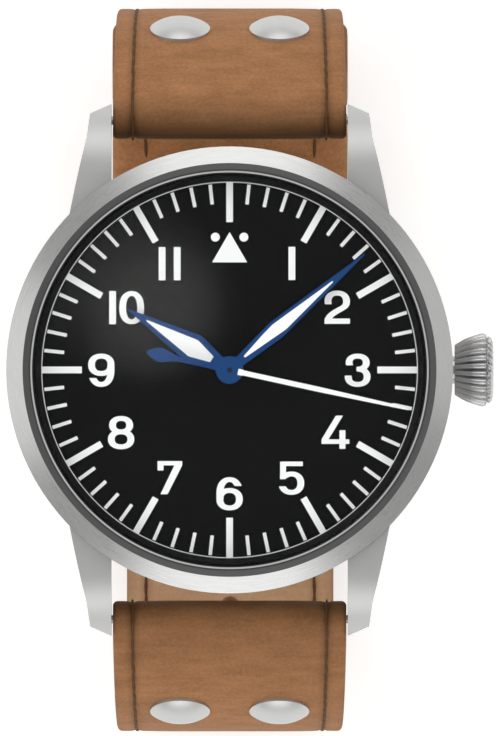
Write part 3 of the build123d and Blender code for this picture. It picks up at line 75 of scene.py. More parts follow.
# Colours, nodes and meshes
def linear(colour: str) -> Colour:
    """Turn an sRGB hex colour into the linear values that shaders take.

    Args:
        colour: six hex digits after a hash.

    Returns:
        Red, green, blue and an alpha of one.
    """
    parts = [int(colour[place : place + 2], 16) / 255 for place in (1, 3, 5)]
    curve = [part / 12.92 if part <= 0.04045 else ((part + 0.055) / 1.055) ** 2.4 for part in parts]
    return (*curve, 1.0)


def add_node(
    tree: Tree, kind: str, inputs: dict | None = None, settings: dict | None = None
) -> bpy.types.Node:
    """Add a node, set its settings, and give each input a value or a link.

    Args:
        tree: the tree that takes the node.
        kind: Blender's name for the node.
        inputs: value or output socket for each input, by name or by place.
        settings: attribute values of the node.

    Returns:
        The new node.
    """
    node = tree.nodes.new(kind)
    for name, value in (settings or {}).items():
        setattr(node, name, value)
    for name, value in (inputs or {}).items():
        if isinstance(value, Socket):
            tree.links.new(value, node.inputs[name])
        else:
            node.inputs[name].default_value = value
    return node


def show(name: str, data: bpy.types.ID) -> Piece:
    """Link a new object into the scene.

    Args:
        name: name of the object.
        data: its mesh, lamp or lens.

    Returns:
        The new object.
    """
    piece = bpy.data.objects.new(name, data)
    bpy.context.scene.collection.objects.link(piece)
    return piece


def mesh_piece(name: str, vertices: list, faces: list, material: Material) -> Piece:
    """Make a piece from its corners and faces.

    Args:
        name: name of the piece.
        vertices: corners, in millimetres in the watch's frame.
        faces: lists of corner numbers, pointing outwards.
        material: finish of the piece.

    Returns:
        The new object, linked into the scene.
    """
    mesh = bpy.data.meshes.new(name)
    mesh.from_pydata([Vector(corner) * MM for corner in vertices], [], faces)
    mesh.update()
    mesh.materials.append(material)
    return show(name, mesh)


def soften(piece: Piece, sharp_angle: float) -> Piece:
    """Shade a piece smooth, and keep the edges that turn more than an angle sharp.

    Args:
        piece: the piece.
        sharp_angle: the angle, in degrees.

    Returns:
        The same piece.
    """
    mesh = piece.data
    mesh.shade_smooth()
    mesh.set_sharp_from_angle(angle=radians(sharp_angle))
    return piece


def face_outwards(piece: Piece) -> None:
    """Turn every face of a closed piece outwards.

    Args:
        piece: the piece.
    """
    form = bmesh.new()
    form.from_mesh(piece.data)
    bmesh.ops.recalc_face_normals(form, faces=form.faces[:])
    form.to_mesh(piece.data)
    form.free()


def circle_middle(first: Vector, second: Vector) -> Point:
    """Middle of the circle that runs through the origin and two points.

    Args:
        first: one point.
        second: the other point.

    Returns:
        The circle's middle.
    """
    squares = (first.length_squared / 2, second.length_squared / 2)
    twist = first.x * second.y - first.y * second.x
    across = (squares[0] * second.y - squares[1] * first.y) / twist
    return across, (first.x * squares[1] - second.x * squares[0]) / twist


# Finishes
class Brushing(Enum):
    """Way that the brush or the lathe ran over a metal."""

    ROUND_THE_DIAL = "rings about the axis of the hands"
    ALONG_THE_ARM = "straight lines from the 12 to the 6"
    ACROSS_THE_ARM = "straight lines from the 9 to the 3"
    NONE = "no lines"


class Finish:
    """Base of all finishes: it opens a material and leaves its shader to the finish."""

    name: str
    noise_low: float = 0.3
    noise_high: float = 0.7

    def build(self) -> Material:
        """Make the material.

        Returns:
            The finished material.
        """
        material = bpy.data.materials.new(self.name)
        material.use_nodes = True
        tree = material.node_tree
        tree.nodes.clear()
        add_node(tree, "ShaderNodeOutputMaterial", {"Surface": self.shade(tree)})
        return material

    def shade(self, tree: Tree) -> Socket:
        """Build the shader and return its output."""
        raise NotImplementedError

    @staticmethod
    def place(tree: Tree, scale: tuple[float, float, float] = (1.0, 1.0, 1.0)) -> Socket:
        """Object coordinates in millimetres, stretched along the axes.

        Args:
            tree: the material's tree.
            scale: factor along each axis.

        Returns:
            Socket with the coordinates.
        """
        coordinates = add_node(tree, "ShaderNodeTexCoord").outputs["Object"]
        inputs = {"Vector": coordinates, "Scale": tuple(factor / MM for factor in scale)}
        return add_node(tree, "ShaderNodeMapping", inputs, {"vector_type": "POINT"}).outputs[0]

    @staticmethod
    def grain(tree: Tree, size: float, detail: float = 3.0, stretch: float = 1.0) -> Socket:
        """Blobs of a size in millimetres, drawn out across the arm by a stretch of less than one."""
        inputs = {"Vector": Finish.place(tree, (stretch, 1.0, 1.0)), "Scale": 1 / size, "Detail": detail}
        return add_node(tree, "ShaderNodeTexNoise", inputs).outputs["Fac"]

    @staticmethod
    def mottled(tree: Tree, colour: str, mottle: float, size: float) -> Socket:
        """Colour with soft, darker clouds.

        Args:
            tree: the material's tree.
            colour: sRGB hex colour.
            mottle: how much darker the clouds are, as a share.
            size: size of a cloud, in millimetres.

        Returns:
            Socket with the colour.
        """
        pale = linear(colour)
        dark = (*(part * (1 - mottle) for part in pale[:3]), 1.0)
        inputs = {"Factor": Finish.grain(tree, size), 6: dark, 7: pale}
        return add_node(tree, "ShaderNodeMix", inputs, {"data_type": "RGBA"}).outputs[2]

    @staticmethod
    def textured(
        tree: Tree, lines: Socket, roughness: float, spread: float, depth: float
    ) -> dict[str, Socket]:
        """Roughness and bump of a surface whose fine lines scatter the light.

        Args:
            tree: the material's tree.
            lines: pattern of the lines.
            roughness: middle of the roughness.
            spread: how far the lines carry it each way.
            depth: height of the lines in millimetres, or zero for none to feel.

        Returns:
            The shader's inputs, by name.
        """
        ends = {"Value": lines, "From Min": Finish.noise_low, "From Max": Finish.noise_high}
        reach = {"To Min": roughness - spread, "To Max": roughness + spread}
        found = {"Roughness": add_node(tree, "ShaderNodeMapRange", ends | reach).outputs["Result"]}
        if depth:
            bump = {"Height": lines, "Distance": depth * MM, "Strength": 1.0}
            found["Normal"] = add_node(tree, "ShaderNodeBump", bump).outputs[0]
        return found

    @staticmethod
    def split(tree: Tree, measure: Socket, edge: float, blur: float, before: Socket, past: Socket) -> Socket:
        """Show one shader before an edge and another past it.

        Args:
            tree: the material's tree.
            measure: distance that is held against the edge, in millimetres.
            edge: where the second shader has fully taken over.
            blur: width of the soft change before the edge.
            before: shader before the edge.
            past: shader past the edge.

        Returns:
            Socket with the mixed shader.
        """
        ends = {"Value": measure, "From Min": edge - blur, "From Max": edge}
        share = add_node(tree, "ShaderNodeMapRange", ends).outputs["Result"]
        return add_node(tree, "ShaderNodeMixShader", {0: share, 1: before, 2: past}).outputs[0]

    @staticmethod
    def radius(tree: Tree) -> Socket:
        """Distance from the hands' axis, in millimetres.

        Args:
            tree: the material's tree.

        Returns:
            Socket with the distance.
        """
        parts = add_node(tree, "ShaderNodeSeparateXYZ", {0: Finish.place(tree)}).outputs
        flat = add_node(tree, "ShaderNodeCombineXYZ", {"X": parts["X"], "Y": parts["Y"]}).outputs[0]
        return add_node(tree, "ShaderNodeVectorMath", {0: flat}, {"operation": "LENGTH"}).outputs["Value"]

    @staticmethod
    def along_hand(tree: Tree, direction: float) -> tuple[Socket, Socket]:
        """Distances along a hand from its axis, and sideways from its middle line.

        Args:
            tree: the material's tree.
            direction: way that the hand points, in degrees from the 12 towards the 3.

        Returns:
            Sockets with the two distances in millimetres.
        """
        angle = radians(90 - direction)
        way, side = (cos(angle), sin(angle), 0.0), (-sin(angle), cos(angle), 0.0)
        place = Finish.place(tree)
        along = add_node(tree, "ShaderNodeVectorMath", {0: place, 1: way}, {"operation": "DOT_PRODUCT"})
        beside = add_node(tree, "ShaderNodeVectorMath", {0: place, 1: side}, {"operation": "DOT_PRODUCT"})
        off = add_node(tree, "ShaderNodeMath", {0: beside.outputs["Value"]}, {"operation": "ABSOLUTE"})
        return along.outputs["Value"], off.outputs[0]


@dataclass(frozen=True)
class Steel(Finish):
    """Metal with brushed, turned or polished lines, each line a fine scratch that spreads light across it."""

    name: str
    colour: str
    roughness: float
    brushing: Brushing = Brushing.NONE
    line_width: float = 0.09
    line_depth: float = 0.0012
    spread: float = 0.05
    line_stretch: float = 0.02
    mottle: float = 0.04
    cloud_size: float = 3.0

    def lines(self, tree: Tree) -> Socket:
        """Coordinates stretched along the brush lines, in millimetres.

        Args:
            tree: the material's tree.

        Returns:
            Socket with coordinates that change slowly along a line.
        """
        straight = {
            Brushing.ALONG_THE_ARM: (1.0, self.line_stretch, 1.0),
            Brushing.ACROSS_THE_ARM: (self.line_stretch, 1.0, 1.0),
            Brushing.NONE: (1.0, 1.0, 1.0),
        }
        if self.brushing in straight:
            return self.place(tree, straight[self.brushing])
        parts = add_node(tree, "ShaderNodeSeparateXYZ", {0: self.place(tree)}).outputs
        sides = {0: parts["Y"], 1: parts["X"]}
        turn = add_node(tree, "ShaderNodeMath", sides, {"operation": "ARCTAN2"}).outputs[0]
        ring = {"X": self.radius(tree), "Y": turn, "Z": parts["Z"]}
        return add_node(tree, "ShaderNodeCombineXYZ", ring).outputs[0]

    def shade(self, tree: Tree) -> Socket:
        """Build the metal's shader, with lines in its roughness and its bump.

        Args:
            tree: the material's tree.

        Returns:
            Socket with the shader.
        """
        scratches = {"Vector": self.lines(tree), "Scale": 1 / self.line_width, "Detail": 2.0}
        lines = add_node(tree, "ShaderNodeTexNoise", scratches).outputs["Fac"]
        depth = 0.0 if self.brushing is Brushing.NONE else self.line_depth
        inputs = {
            "Base Color": self.mottled(tree, self.colour, self.mottle, self.cloud_size),
            "Metallic": 1.0,
            **self.textured(tree, lines, self.roughness, self.spread, depth),
        }
        return add_node(tree, "ShaderNodeBsdfPrincipled", inputs).outputs[0]


@dataclass(frozen=True)
class BezelSteel(Steel):
    """Bezel of steel brushed in rings, with a blasted dark bevel inside its crest."""

    bevel_colour: str = "#575757"
    bevel_roughness: float = 0.5
    crest_radius: float = 19.45
    crest_blur: float = 0.03
    grit_size: float = 0.06
    grit_depth: float = 0.002

    def shade(self, tree: Tree) -> Socket:
        """Show the blasted bevel inside the crest and the brushed face outside it.

        Args:
            tree: the material's tree.

        Returns:
            Socket with the shader.
        """
        brushed = super().shade(tree)
        grit = {"Height": self.grain(tree, self.grit_size), "Distance": self.grit_depth * MM, "Strength": 0.6}
        inputs = {
            "Base Color": linear(self.bevel_colour),
            "Metallic": 0.6,
            "Roughness": self.bevel_roughness,
            "Normal": add_node(tree, "ShaderNodeBump", grit).outputs[0],
        }
        blasted = add_node(tree, "ShaderNodeBsdfPrincipled", inputs).outputs[0]
        return self.split(tree, self.radius(tree), self.crest_radius, self.crest_blur, blasted, brushed)


@dataclass(frozen=True)
class WheelOnArbor(Steel):
    """Gilt wheel whose arbor ends, dark, in the hub of the seconds hand."""

    arbor_colour: str = "#2E2D2C"
    arbor_roughness: float = 0.35
    blur: float = 0.01

    def shade(self, tree: Tree) -> Socket:
        """Show gilt brass under the dial and dark steel over it.

        Args:
            tree: the material's tree.

        Returns:
            Socket with the shader.
        """
        gilt = super().shade(tree)
        height = add_node(tree, "ShaderNodeSeparateXYZ", {0: self.place(tree)}).outputs["Z"]
        dark = {"Base Color": linear(self.arbor_colour), "Metallic": 1.0, "Roughness": self.arbor_roughness}
        steel = add_node(tree, "ShaderNodeBsdfPrincipled", dark).outputs[0]
        return self.split(tree, height, Watch.dial_high, self.blur, gilt, steel)


@dataclass(frozen=True)
class Coat(Finish):
    """Opaque non-metal: print, enamel, rubber, jewel or lacquer, with a fine grain of its own."""

    name: str
    colour: str
    roughness: float
    grain_size: float = 0.08
    grain_depth: float = 0.002
    mottle: float = 0.06
    metallic: float = 0.0
    ior: float = 1.5
    spread: float = 0.04
    grains_in_cloud: float = 20.0

    def shade(self, tree: Tree) -> Socket:
        """Build the coat's shader.

        Args:
            tree: the material's tree.

        Returns:
            Socket with the shader.
        """
        grain = self.grain(tree, self.grain_size)
        cloud_size = self.grains_in_cloud * self.grain_size
        inputs = {
            "Base Color": self.mottled(tree, self.colour, self.mottle, cloud_size),
            "Metallic": self.metallic,
            "IOR": self.ior,
            **self.textured(tree, grain, self.roughness, self.spread, self.grain_depth),
        }
        return add_node(tree, "ShaderNodeBsdfPrincipled", inputs).outputs[0]


@dataclass(frozen=True)
class TrackPrint(Coat):
    """Dial print whose closing ring is thinned from outside by the black lacquer."""

    ring_radius: float = 17.0
    blur: float = 0.01
    lacquer: str = "#0C0C0C"

    def shade(self, tree: Tree) -> Socket:
        """Show print inside the ring's edge and lacquer outside it.

        Args:
            tree: the material's tree.

        Returns:
            Socket with the shader.
        """
        printed = super().shade(tree)
        black = {"Base Color": linear(self.lacquer), "Roughness": 0.6}
        covered = add_node(tree, "ShaderNodeBsdfPrincipled", black).outputs[0]
        return self.split(tree, self.radius(tree), self.ring_radius, self.blur, printed, covered)


@dataclass(frozen=True)
class SecondsHandPaint(Finish):
    """Seconds hand of blued steel whose needle is painted white, from the hub to its point."""

    name: str
    blue: str
    white: str
    direction: float
    needle_start: float
    needle_half: float = 0.28
    blur: float = 0.02

    def shade(self, tree: Tree) -> Socket:
        """Show white paint along the needle and blued steel past its sides and on the hub.

        Args:
            tree: the material's tree.

        Returns:
            Socket with the shader.
        """
        along, beside = self.along_hand(tree, self.direction)
        steel = {"Base Color": linear(self.blue), "Metallic": 1.0, "Roughness": 0.34}
        paint = {"Base Color": linear(self.white), "Roughness": 0.45}
        blued = add_node(tree, "ShaderNodeBsdfPrincipled", steel).outputs[0]
        white = add_node(tree, "ShaderNodeBsdfPrincipled", paint).outputs[0]
        needle = self.split(tree, beside, self.needle_half + self.blur, self.blur, white, blued)
        return self.split(tree, along, self.needle_start, self.blur, blued, needle)


@dataclass(frozen=True)
class TaperedLume(Finish):
    """Luminous fill that comes to a point at the hub, with the hand's blue film beside the point."""

    name: str
    white: str
    blue: str
    direction: float
    point: float
    point_half: float
    widening: float
    blur: float = 0.02
    grain_size: float = 0.08
    grain_depth: float = 0.004

    def shade(self, tree: Tree) -> Socket:
        """Show the fill and the blue film on the two sides of the tapering edge.

        Args:
            tree: the material's tree.

        Returns:
            Socket with the shader.
        """
        along, beside = self.along_hand(tree, self.direction)
        line = {0: along, 1: self.widening, 2: self.point_half - self.widening * self.point}
        edge = add_node(tree, "ShaderNodeMath", line, {"operation": "MULTIPLY_ADD"}).outputs[0]
        past = add_node(tree, "ShaderNodeMath", {0: beside, 1: edge}, {"operation": "SUBTRACT"}).outputs[0]
        grain = self.grain(tree, self.grain_size)
        chalk = {"Height": grain, "Distance": self.grain_depth * MM, "Strength": 1.0}
        bump = add_node(tree, "ShaderNodeBump", chalk).outputs[0]
        fill = {"Base Color": linear(self.white), "Roughness": 0.55, "Normal": bump}
        film = {"Base Color": linear(self.blue), "Metallic": 1.0, "Roughness": 0.34}
        shaders = [add_node(tree, "ShaderNodeBsdfPrincipled", inputs).outputs[0] for inputs in (fill, film)]
        return self.split(tree, past, self.blur, self.blur, *shaders)


@dataclass(frozen=True)
class Gasket(Finish):
    """White polymer ring whose inner half is painted dark, as the shade of the crystal's black edge."""

    name: str
    white: str
    # colour of the painted shade on the inner half
    black: str
    lit_radius: float
    blur: float = 0.02

    def shade(self, tree: Tree) -> Socket:
        """Mix white and the black of the painted shade by the distance from the hands' axis.

        Args:
            tree: the material's tree.

        Returns:
            Socket with the shader.
        """
        painted_shade_radius = self.lit_radius - self.blur
        edge = {"Value": self.radius(tree), "From Min": painted_shade_radius, "From Max": self.lit_radius}
        lit = add_node(tree, "ShaderNodeMapRange", edge).outputs["Result"]
        halves = {"Factor": lit, 6: linear(self.black), 7: linear(self.white)}
        colour = add_node(tree, "ShaderNodeMix", halves, {"data_type": "RGBA"}).outputs[2]
        inputs = {"Base Color": colour, "Roughness": 0.4, "IOR": 1.3}
        return add_node(tree, "ShaderNodeBsdfPrincipled", inputs).outputs[0]


@dataclass(frozen=True)
class Sapphire(Finish):
    """Polished sapphire with an anti-reflection coat: clear, with a faint cold sheen on the dome."""

    name: str
    ior: float
    tint: str = "#FEFFFF"

    def shade(self, tree: Tree) -> Socket:
        """Let lamps through to the dial, and show clear glass to everything else.

        Args:
            tree: the material's tree.

        Returns:
            Socket with the shader.
        """
        inputs = {
            "Base Color": linear(self.tint),
            "Roughness": 0.0,
            "IOR": self.ior,
            "Transmission Weight": 1.0,
        }
        glass = add_node(tree, "ShaderNodeBsdfPrincipled", inputs).outputs[0]
        clear = add_node(tree, "ShaderNodeBsdfTransparent", {"Color": linear(self.tint)}).outputs[0]
        lamps = add_node(tree, "ShaderNodeLightPath").outputs["Is Shadow Ray"]
        return add_node(tree, "ShaderNodeMixShader", {0: lamps, 1: glass, 2: clear}).outputs[0]


@dataclass(frozen=True)
class Leather(Finish):
    """Oiled nubuck calf: matt, softly clouded, paler where it was rubbed, dark at its burnished edges, with
    painted shade where it is folded.
    """

    name: str
    pale: str
    dark: str
    burnish_and_shade_colour: str
    roughness: float = 0.72
    cloud_size: float = 1.7
    cloud_stretch: float = 0.5
    cloud_tone: float = 0.4
    fibre_size: float = 0.3
    fibre_tone: float = 0.42
    crease_size: float = 0.55
    crease_stretch: float = 0.16
    crease_tone: float = 0.18
    crease_depth: float = 0.05
    pore_size: float = 0.22
    pore_depth: float = 0.03
    relief: float = 0.8

    def shade(self, tree: Tree) -> Socket:
        """Mix the hide's tones, darken its burnished edges, add painted shade at its folds, and give it
        pores.

        Args:
            tree: the material's tree.

        Returns:
            Socket with the shader.
        """
        clouds = self.grain(tree, self.cloud_size, 8.0, self.cloud_stretch)
        fibres = self.grain(tree, self.fibre_size, 4.0)
        creases = self.grain(tree, self.crease_size, 3.0, self.crease_stretch)
        share = 0.0
        tones = ((clouds, self.cloud_tone), (fibres, self.fibre_tone), (creases, self.crease_tone))
        for pattern, tone in tones:
            ends = {"Value": pattern, "From Min": self.noise_low, "From Max": self.noise_high, "To Max": tone}
            part = add_node(tree, "ShaderNodeMapRange", ends).outputs["Result"]
            share = add_node(tree, "ShaderNodeMath", {0: share, 1: part}, {"operation": "ADD"}).outputs[0]
        # darkness from burnished edges and pressed seams, with painted shade at the folds, laid on by the
        # strap's cross-sections
        wear_and_shade = add_node(tree, "ShaderNodeAttribute", settings={"attribute_name": "burnish_and_shade"}).outputs["Fac"]
        colour = linear(self.dark)
        for factor, second in ((share, self.pale), (wear_and_shade, self.burnish_and_shade_colour)):
            mix = {"Factor": factor, 6: colour, 7: linear(second)}
            colour = add_node(tree, "ShaderNodeMix", mix, {"data_type": "RGBA"}).outputs[2]
        cells = {"Vector": self.place(tree), "Scale": 1 / self.pore_size, "Randomness": 0.9}
        pores = add_node(tree, "ShaderNodeTexVoronoi", cells).outputs["Distance"]
        height = add_node(tree, "ShaderNodeMath", {0: pores, 1: fibres}, {"operation": "ADD"}).outputs[0]
        fine = {"Height": height, "Distance": self.pore_depth * MM, "Strength": self.relief}
        bump = {"Height": creases, "Distance": self.crease_depth * MM, "Strength": self.relief}
        bump["Normal"] = add_node(tree, "ShaderNodeBump", fine).outputs[0]
        inputs = {
            "Base Color": colour,
            "Roughness": self.roughness,
            "Specular IOR Level": 0.15,
            "Sheen Weight": 0.05,
            "Sheen Roughness": 0.5,
            "Normal": add_node(tree, "ShaderNodeBump", bump).outputs[0],
        }
        return add_node(tree, "ShaderNodeBsdfPrincipled", inputs).outputs[0]


class Finishes:
    """Every finish of the watch, by the material slot that wears it."""

    ring_cover: float = 0.06
    chalk: tuple = (0.06, 0.004, 0.01)

    def __init__(self) -> None:
        """Build one material for each slot of the record, and the ones for the added pieces."""
        rings, along, across = Brushing.ROUND_THE_DIAL, Brushing.ALONG_THE_ARM, Brushing.ACROSS_THE_ARM
        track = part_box("dial_markers")[1][0] / MM - self.ring_cover
        white, blue = "#FCFCFB", "#244C85"
        finishes = {
            # Satin stainless steel, drawn over an abrasive belt: bright, with fine straight lines
            "brushed_steel": Steel("satin_steel_case", "#C1C1C0", 0.5, along, 0.1, 0.0003, 0.02),
            # Satin stainless steel turned on a lathe: fine rings that fan the light out
            "bezel_steel": BezelSteel("satin_steel_bezel", "#BABAB9", 0.3, rings, 0.1, 0.0008),
            # Polished stainless steel: a mirror with hairlines, a little softer on the crown's gadroons
            "polished_steel": Steel("polished_steel", "#A8A8A7", 0.2, spread=0.03),
            "crown_steel": Steel("polished_steel_crown", "#BABABA", 0.22, spread=0.03),
            # Turned stainless steel: rings about the middle of the back
            "case_back_steel": Steel("turned_steel_back", "#B1B1B0", 0.32, rings, 0.15),
            # Satin stainless steel, brushed across the buckle and tumbled on the rivets: a soft grey gleam
            "buckle_steel": Steel("satin_steel_buckle", "#B7B7B6", 0.3, across, 0.12),
            "rivet_steel": Steel("satin_steel_rivet", "#C4C4C3", 0.4, spread=0.04),
            # Gilt brass wheels, bright and warm, lapped flat
            "movement_brass": Steel("gilt_brass", "#CAA963", 0.26, rings, 0.1),
            "seconds_wheel": WheelOnArbor("gilt_brass_seconds_wheel", "#CAA963", 0.26, rings, 0.1),
            # Nickel-plated brass plates with straight graining
            "movement_nickel": Steel("grained_nickel", "#B2ADA4", 0.3, along, 0.2),
            # Hardened steel, polished flat
            "movement_steel": Steel("hardened_steel", "#9D9FA2", 0.2, across, 0.1),
            # Synthetic ruby, polished: deep red and wet
            "ruby": Coat("synthetic_ruby", "#B3123C", 0.08, 0.5, 0.0005, ior=1.77),
            # Moulded polymer gasket, white and slightly waxy, its inner half painted dark as shade
            "white_gasket": Gasket("white_polymer_gasket", "#B7B7B5", "#161616", 18.56),
            # Nitrile rubber, matt black
            "black_rubber": Coat("nitrile_rubber", "#1C1C1C", 0.6),
            # Black lacquer on brass, matt
            "flange_black": Coat("black_lacquer_flange", "#0A0B0B", 0.6, 0.05, 0.0005, ior=1.12),
            "dial_black": Coat("matt_black_dial", "#060606", 0.6, 0.05, 0.001, 0.04, ior=1.12),
            # Luminous white print and fill, chalky
            "dial_print": Coat("luminous_print", "#FAFAF9", 0.6, *self.chalk),
            "track_print": TrackPrint("luminous_print_track", "#FAFAF9", 0.6, *self.chalk, ring_radius=track),
            "hand_lume": Coat("luminous_fill", white, 0.55, 0.08, 0.004, 0.01),
            "minute_lume": TaperedLume("luminous_fill_minute_hand", white, blue, 48.5, 1.9, 0.09, 0.122),
            # Steel blued by heat: a deep blue film over metal, painted white along the seconds hand
            "blued_steel": Coat("blued_steel", blue, 0.34, 0.1, 0.0004, 0.05, 1.0),
            "seconds_paint": SecondsHandPaint("seconds_hand_paint", blue, white, 102.3, 0.82),
            # Coated sapphire, nearly free of reflections
            "sapphire": Sapphire("coated_sapphire", 1.17),
            # Oiled nubuck outside and smooth calf inside: matt and warm, with painted shade where they fold
            "leather": Leather("nubuck_calf", "#BD8559", "#8A5F3A", "#593D24"),
            "lining": Leather("lining_calf", "#CEA884", "#B9916E", "#805934", 0.66, 2.4),
            # Waxed linen thread, dark brown
            "thread": Coat("waxed_linen_thread", "#5F3F22", 0.7, 0.12, 0.02, ior=1.3),
        }
        self.materials = {slot: finish.build() for slot, finish in finishes.items()}

    def of(self, slot: str) -> Material:
        """Material of a slot."""
        return self.materials[slot]

    def dress_nodes(self) -> None:
        """Give every CAD node the material of its slot."""
        special = {
            "bezel": "bezel_steel",
            "minute_hand_lume": "minute_lume",
            "dial_markers": "track_print",
            "fourth_wheel": "seconds_wheel",
        }
        for row in frame["record"]["subparts"]:
            node = frame["nodes"][row["node"]]
            slot = special.get(row["node"], row["material_slot"])
            node.data.materials.clear()
            node.data.materials.append(self.of(slot))
            log.info("%s wears %s", row["node"], slot)


# Numerals of the dial
@dataclass(frozen=True)
class Nib:
    """Oval nib that draws thick uprights and thinner level strokes."""

    upright: float = 0.64
    level: float = 0.46

    def side(self, way: Vector) -> Vector:
        """Reach of the nib's edge to the left of its path.

        Args:
            way: direction of the path.

        Returns:
            Step from the path to the stroke's left edge.
        """
        across, up = -way.y * self.upright / 2, way.x * self.level / 2
        reach = hypot(across, up)
        return Vector((across * self.upright / 2, up * self.level / 2)) / reach


@dataclass(frozen=True)
class Stroke:
    """One curved stroke of a numeral, its open ends cut level."""

    points: tuple[Point, ...]
    closed: bool = False
    steepest: float = 0.35

    def outline(self, nib: Nib) -> list[list[Point]]:
        """Outline the stroke as one quadrilateral for each of its pieces.

        Args:
            nib: the nib that draws it.

        Returns:
            Four corners for each piece, all turning the same way.
        """
        points = [Vector(point) for point in self.points]
        count = len(points)
        sides = []
        for place in range(count):
            inner = self.closed or 0 < place < count - 1
            before = points[place - 1] if inner or place else points[place]
            after = points[(place + 1) % count] if inner or place < count - 1 else points[place]
            way = (after - before).normalized()
            edges = [points[place] + nib.side(way), points[place] - nib.side(way)]
            if not inner and abs(way.y) > self.steepest:
                edges = [edge + way * ((points[place].y - edge.y) / way.y) for edge in edges]
            sides.append(edges)
        pieces = count if self.closed else count - 1
        quads = []
        for place in range(pieces):
            (left, right), (next_left, next_right) = sides[place], sides[(place + 1) % count]
            quads.append([tuple(left), tuple(right), tuple(next_right), tuple(next_left)])
        return quads


@dataclass(frozen=True)
class Plate:
    """One straight-sided part of a numeral."""

    corners: tuple[Point, ...]

    def outline(self, nib: Nib) -> list[list[Point]]:
        """Its corners, which no nib changes."""
        return [list(self.corners)]


Parts = list[Stroke | Plate]


def bar(left: float, right: float, low: float, high: float) -> Plate:
    """Upright rectangle between two sides and two heights."""
    return Plate(((left, low), (right, low), (right, high), (left, high)))


def arc(
    centre: Point, radii: Point, start: float, end: float, steps: int = 24, fullness: float = 0.9
) -> tuple[Point, ...]:
    """Points on an upright oval between two angles, in degrees from its right-hand side.

    Args:
        centre: middle of the oval.
        radii: half its width and half its height.
        start: first angle.
        end: last angle.
        steps: number of pieces.
        fullness: 1 for an ellipse, less for squarer shoulders.

    Returns:
        The points, both ends included.
    """
    points = []
    for step in range(steps + 1):
        angle = radians(start + (end - start) * step / steps)
        across = copysign(abs(cos(angle)) ** fullness, cos(angle))
        up = copysign(abs(sin(angle)) ** fullness, sin(angle))
        points.append((centre[0] + radii[0] * across, centre[1] + radii[1] * up))
    return tuple(points)


def oval(centre: Point, radii: Point) -> Stroke:
    """Closed stroke round a middle, with half its width and half its height given."""
    return Stroke(arc(centre, radii, 0, 352, 44), True)


def bend(start: Point, lead: Point, pull: Point, end: Point, steps: int = 12) -> tuple[Point, ...]:
    """Points on a smooth bend, without its first one.

    Args:
        start: first point.
        lead: point that the bend sets out for.
        pull: point that it comes in from.
        end: last point.
        steps: number of pieces.

    Returns:
        The points after the first.
    """
    points = []
    knots = (start, lead, pull, end)
    for step in range(1, steps + 1):
        share = step / steps
        weights = ((1 - share) ** 3, 3 * share * (1 - share) ** 2, 3 * share**2 * (1 - share), share**3)
        points.append(tuple(sum(w * knot[axis] for w, knot in zip(weights, knots)) for axis in (0, 1)))
    return tuple(points)


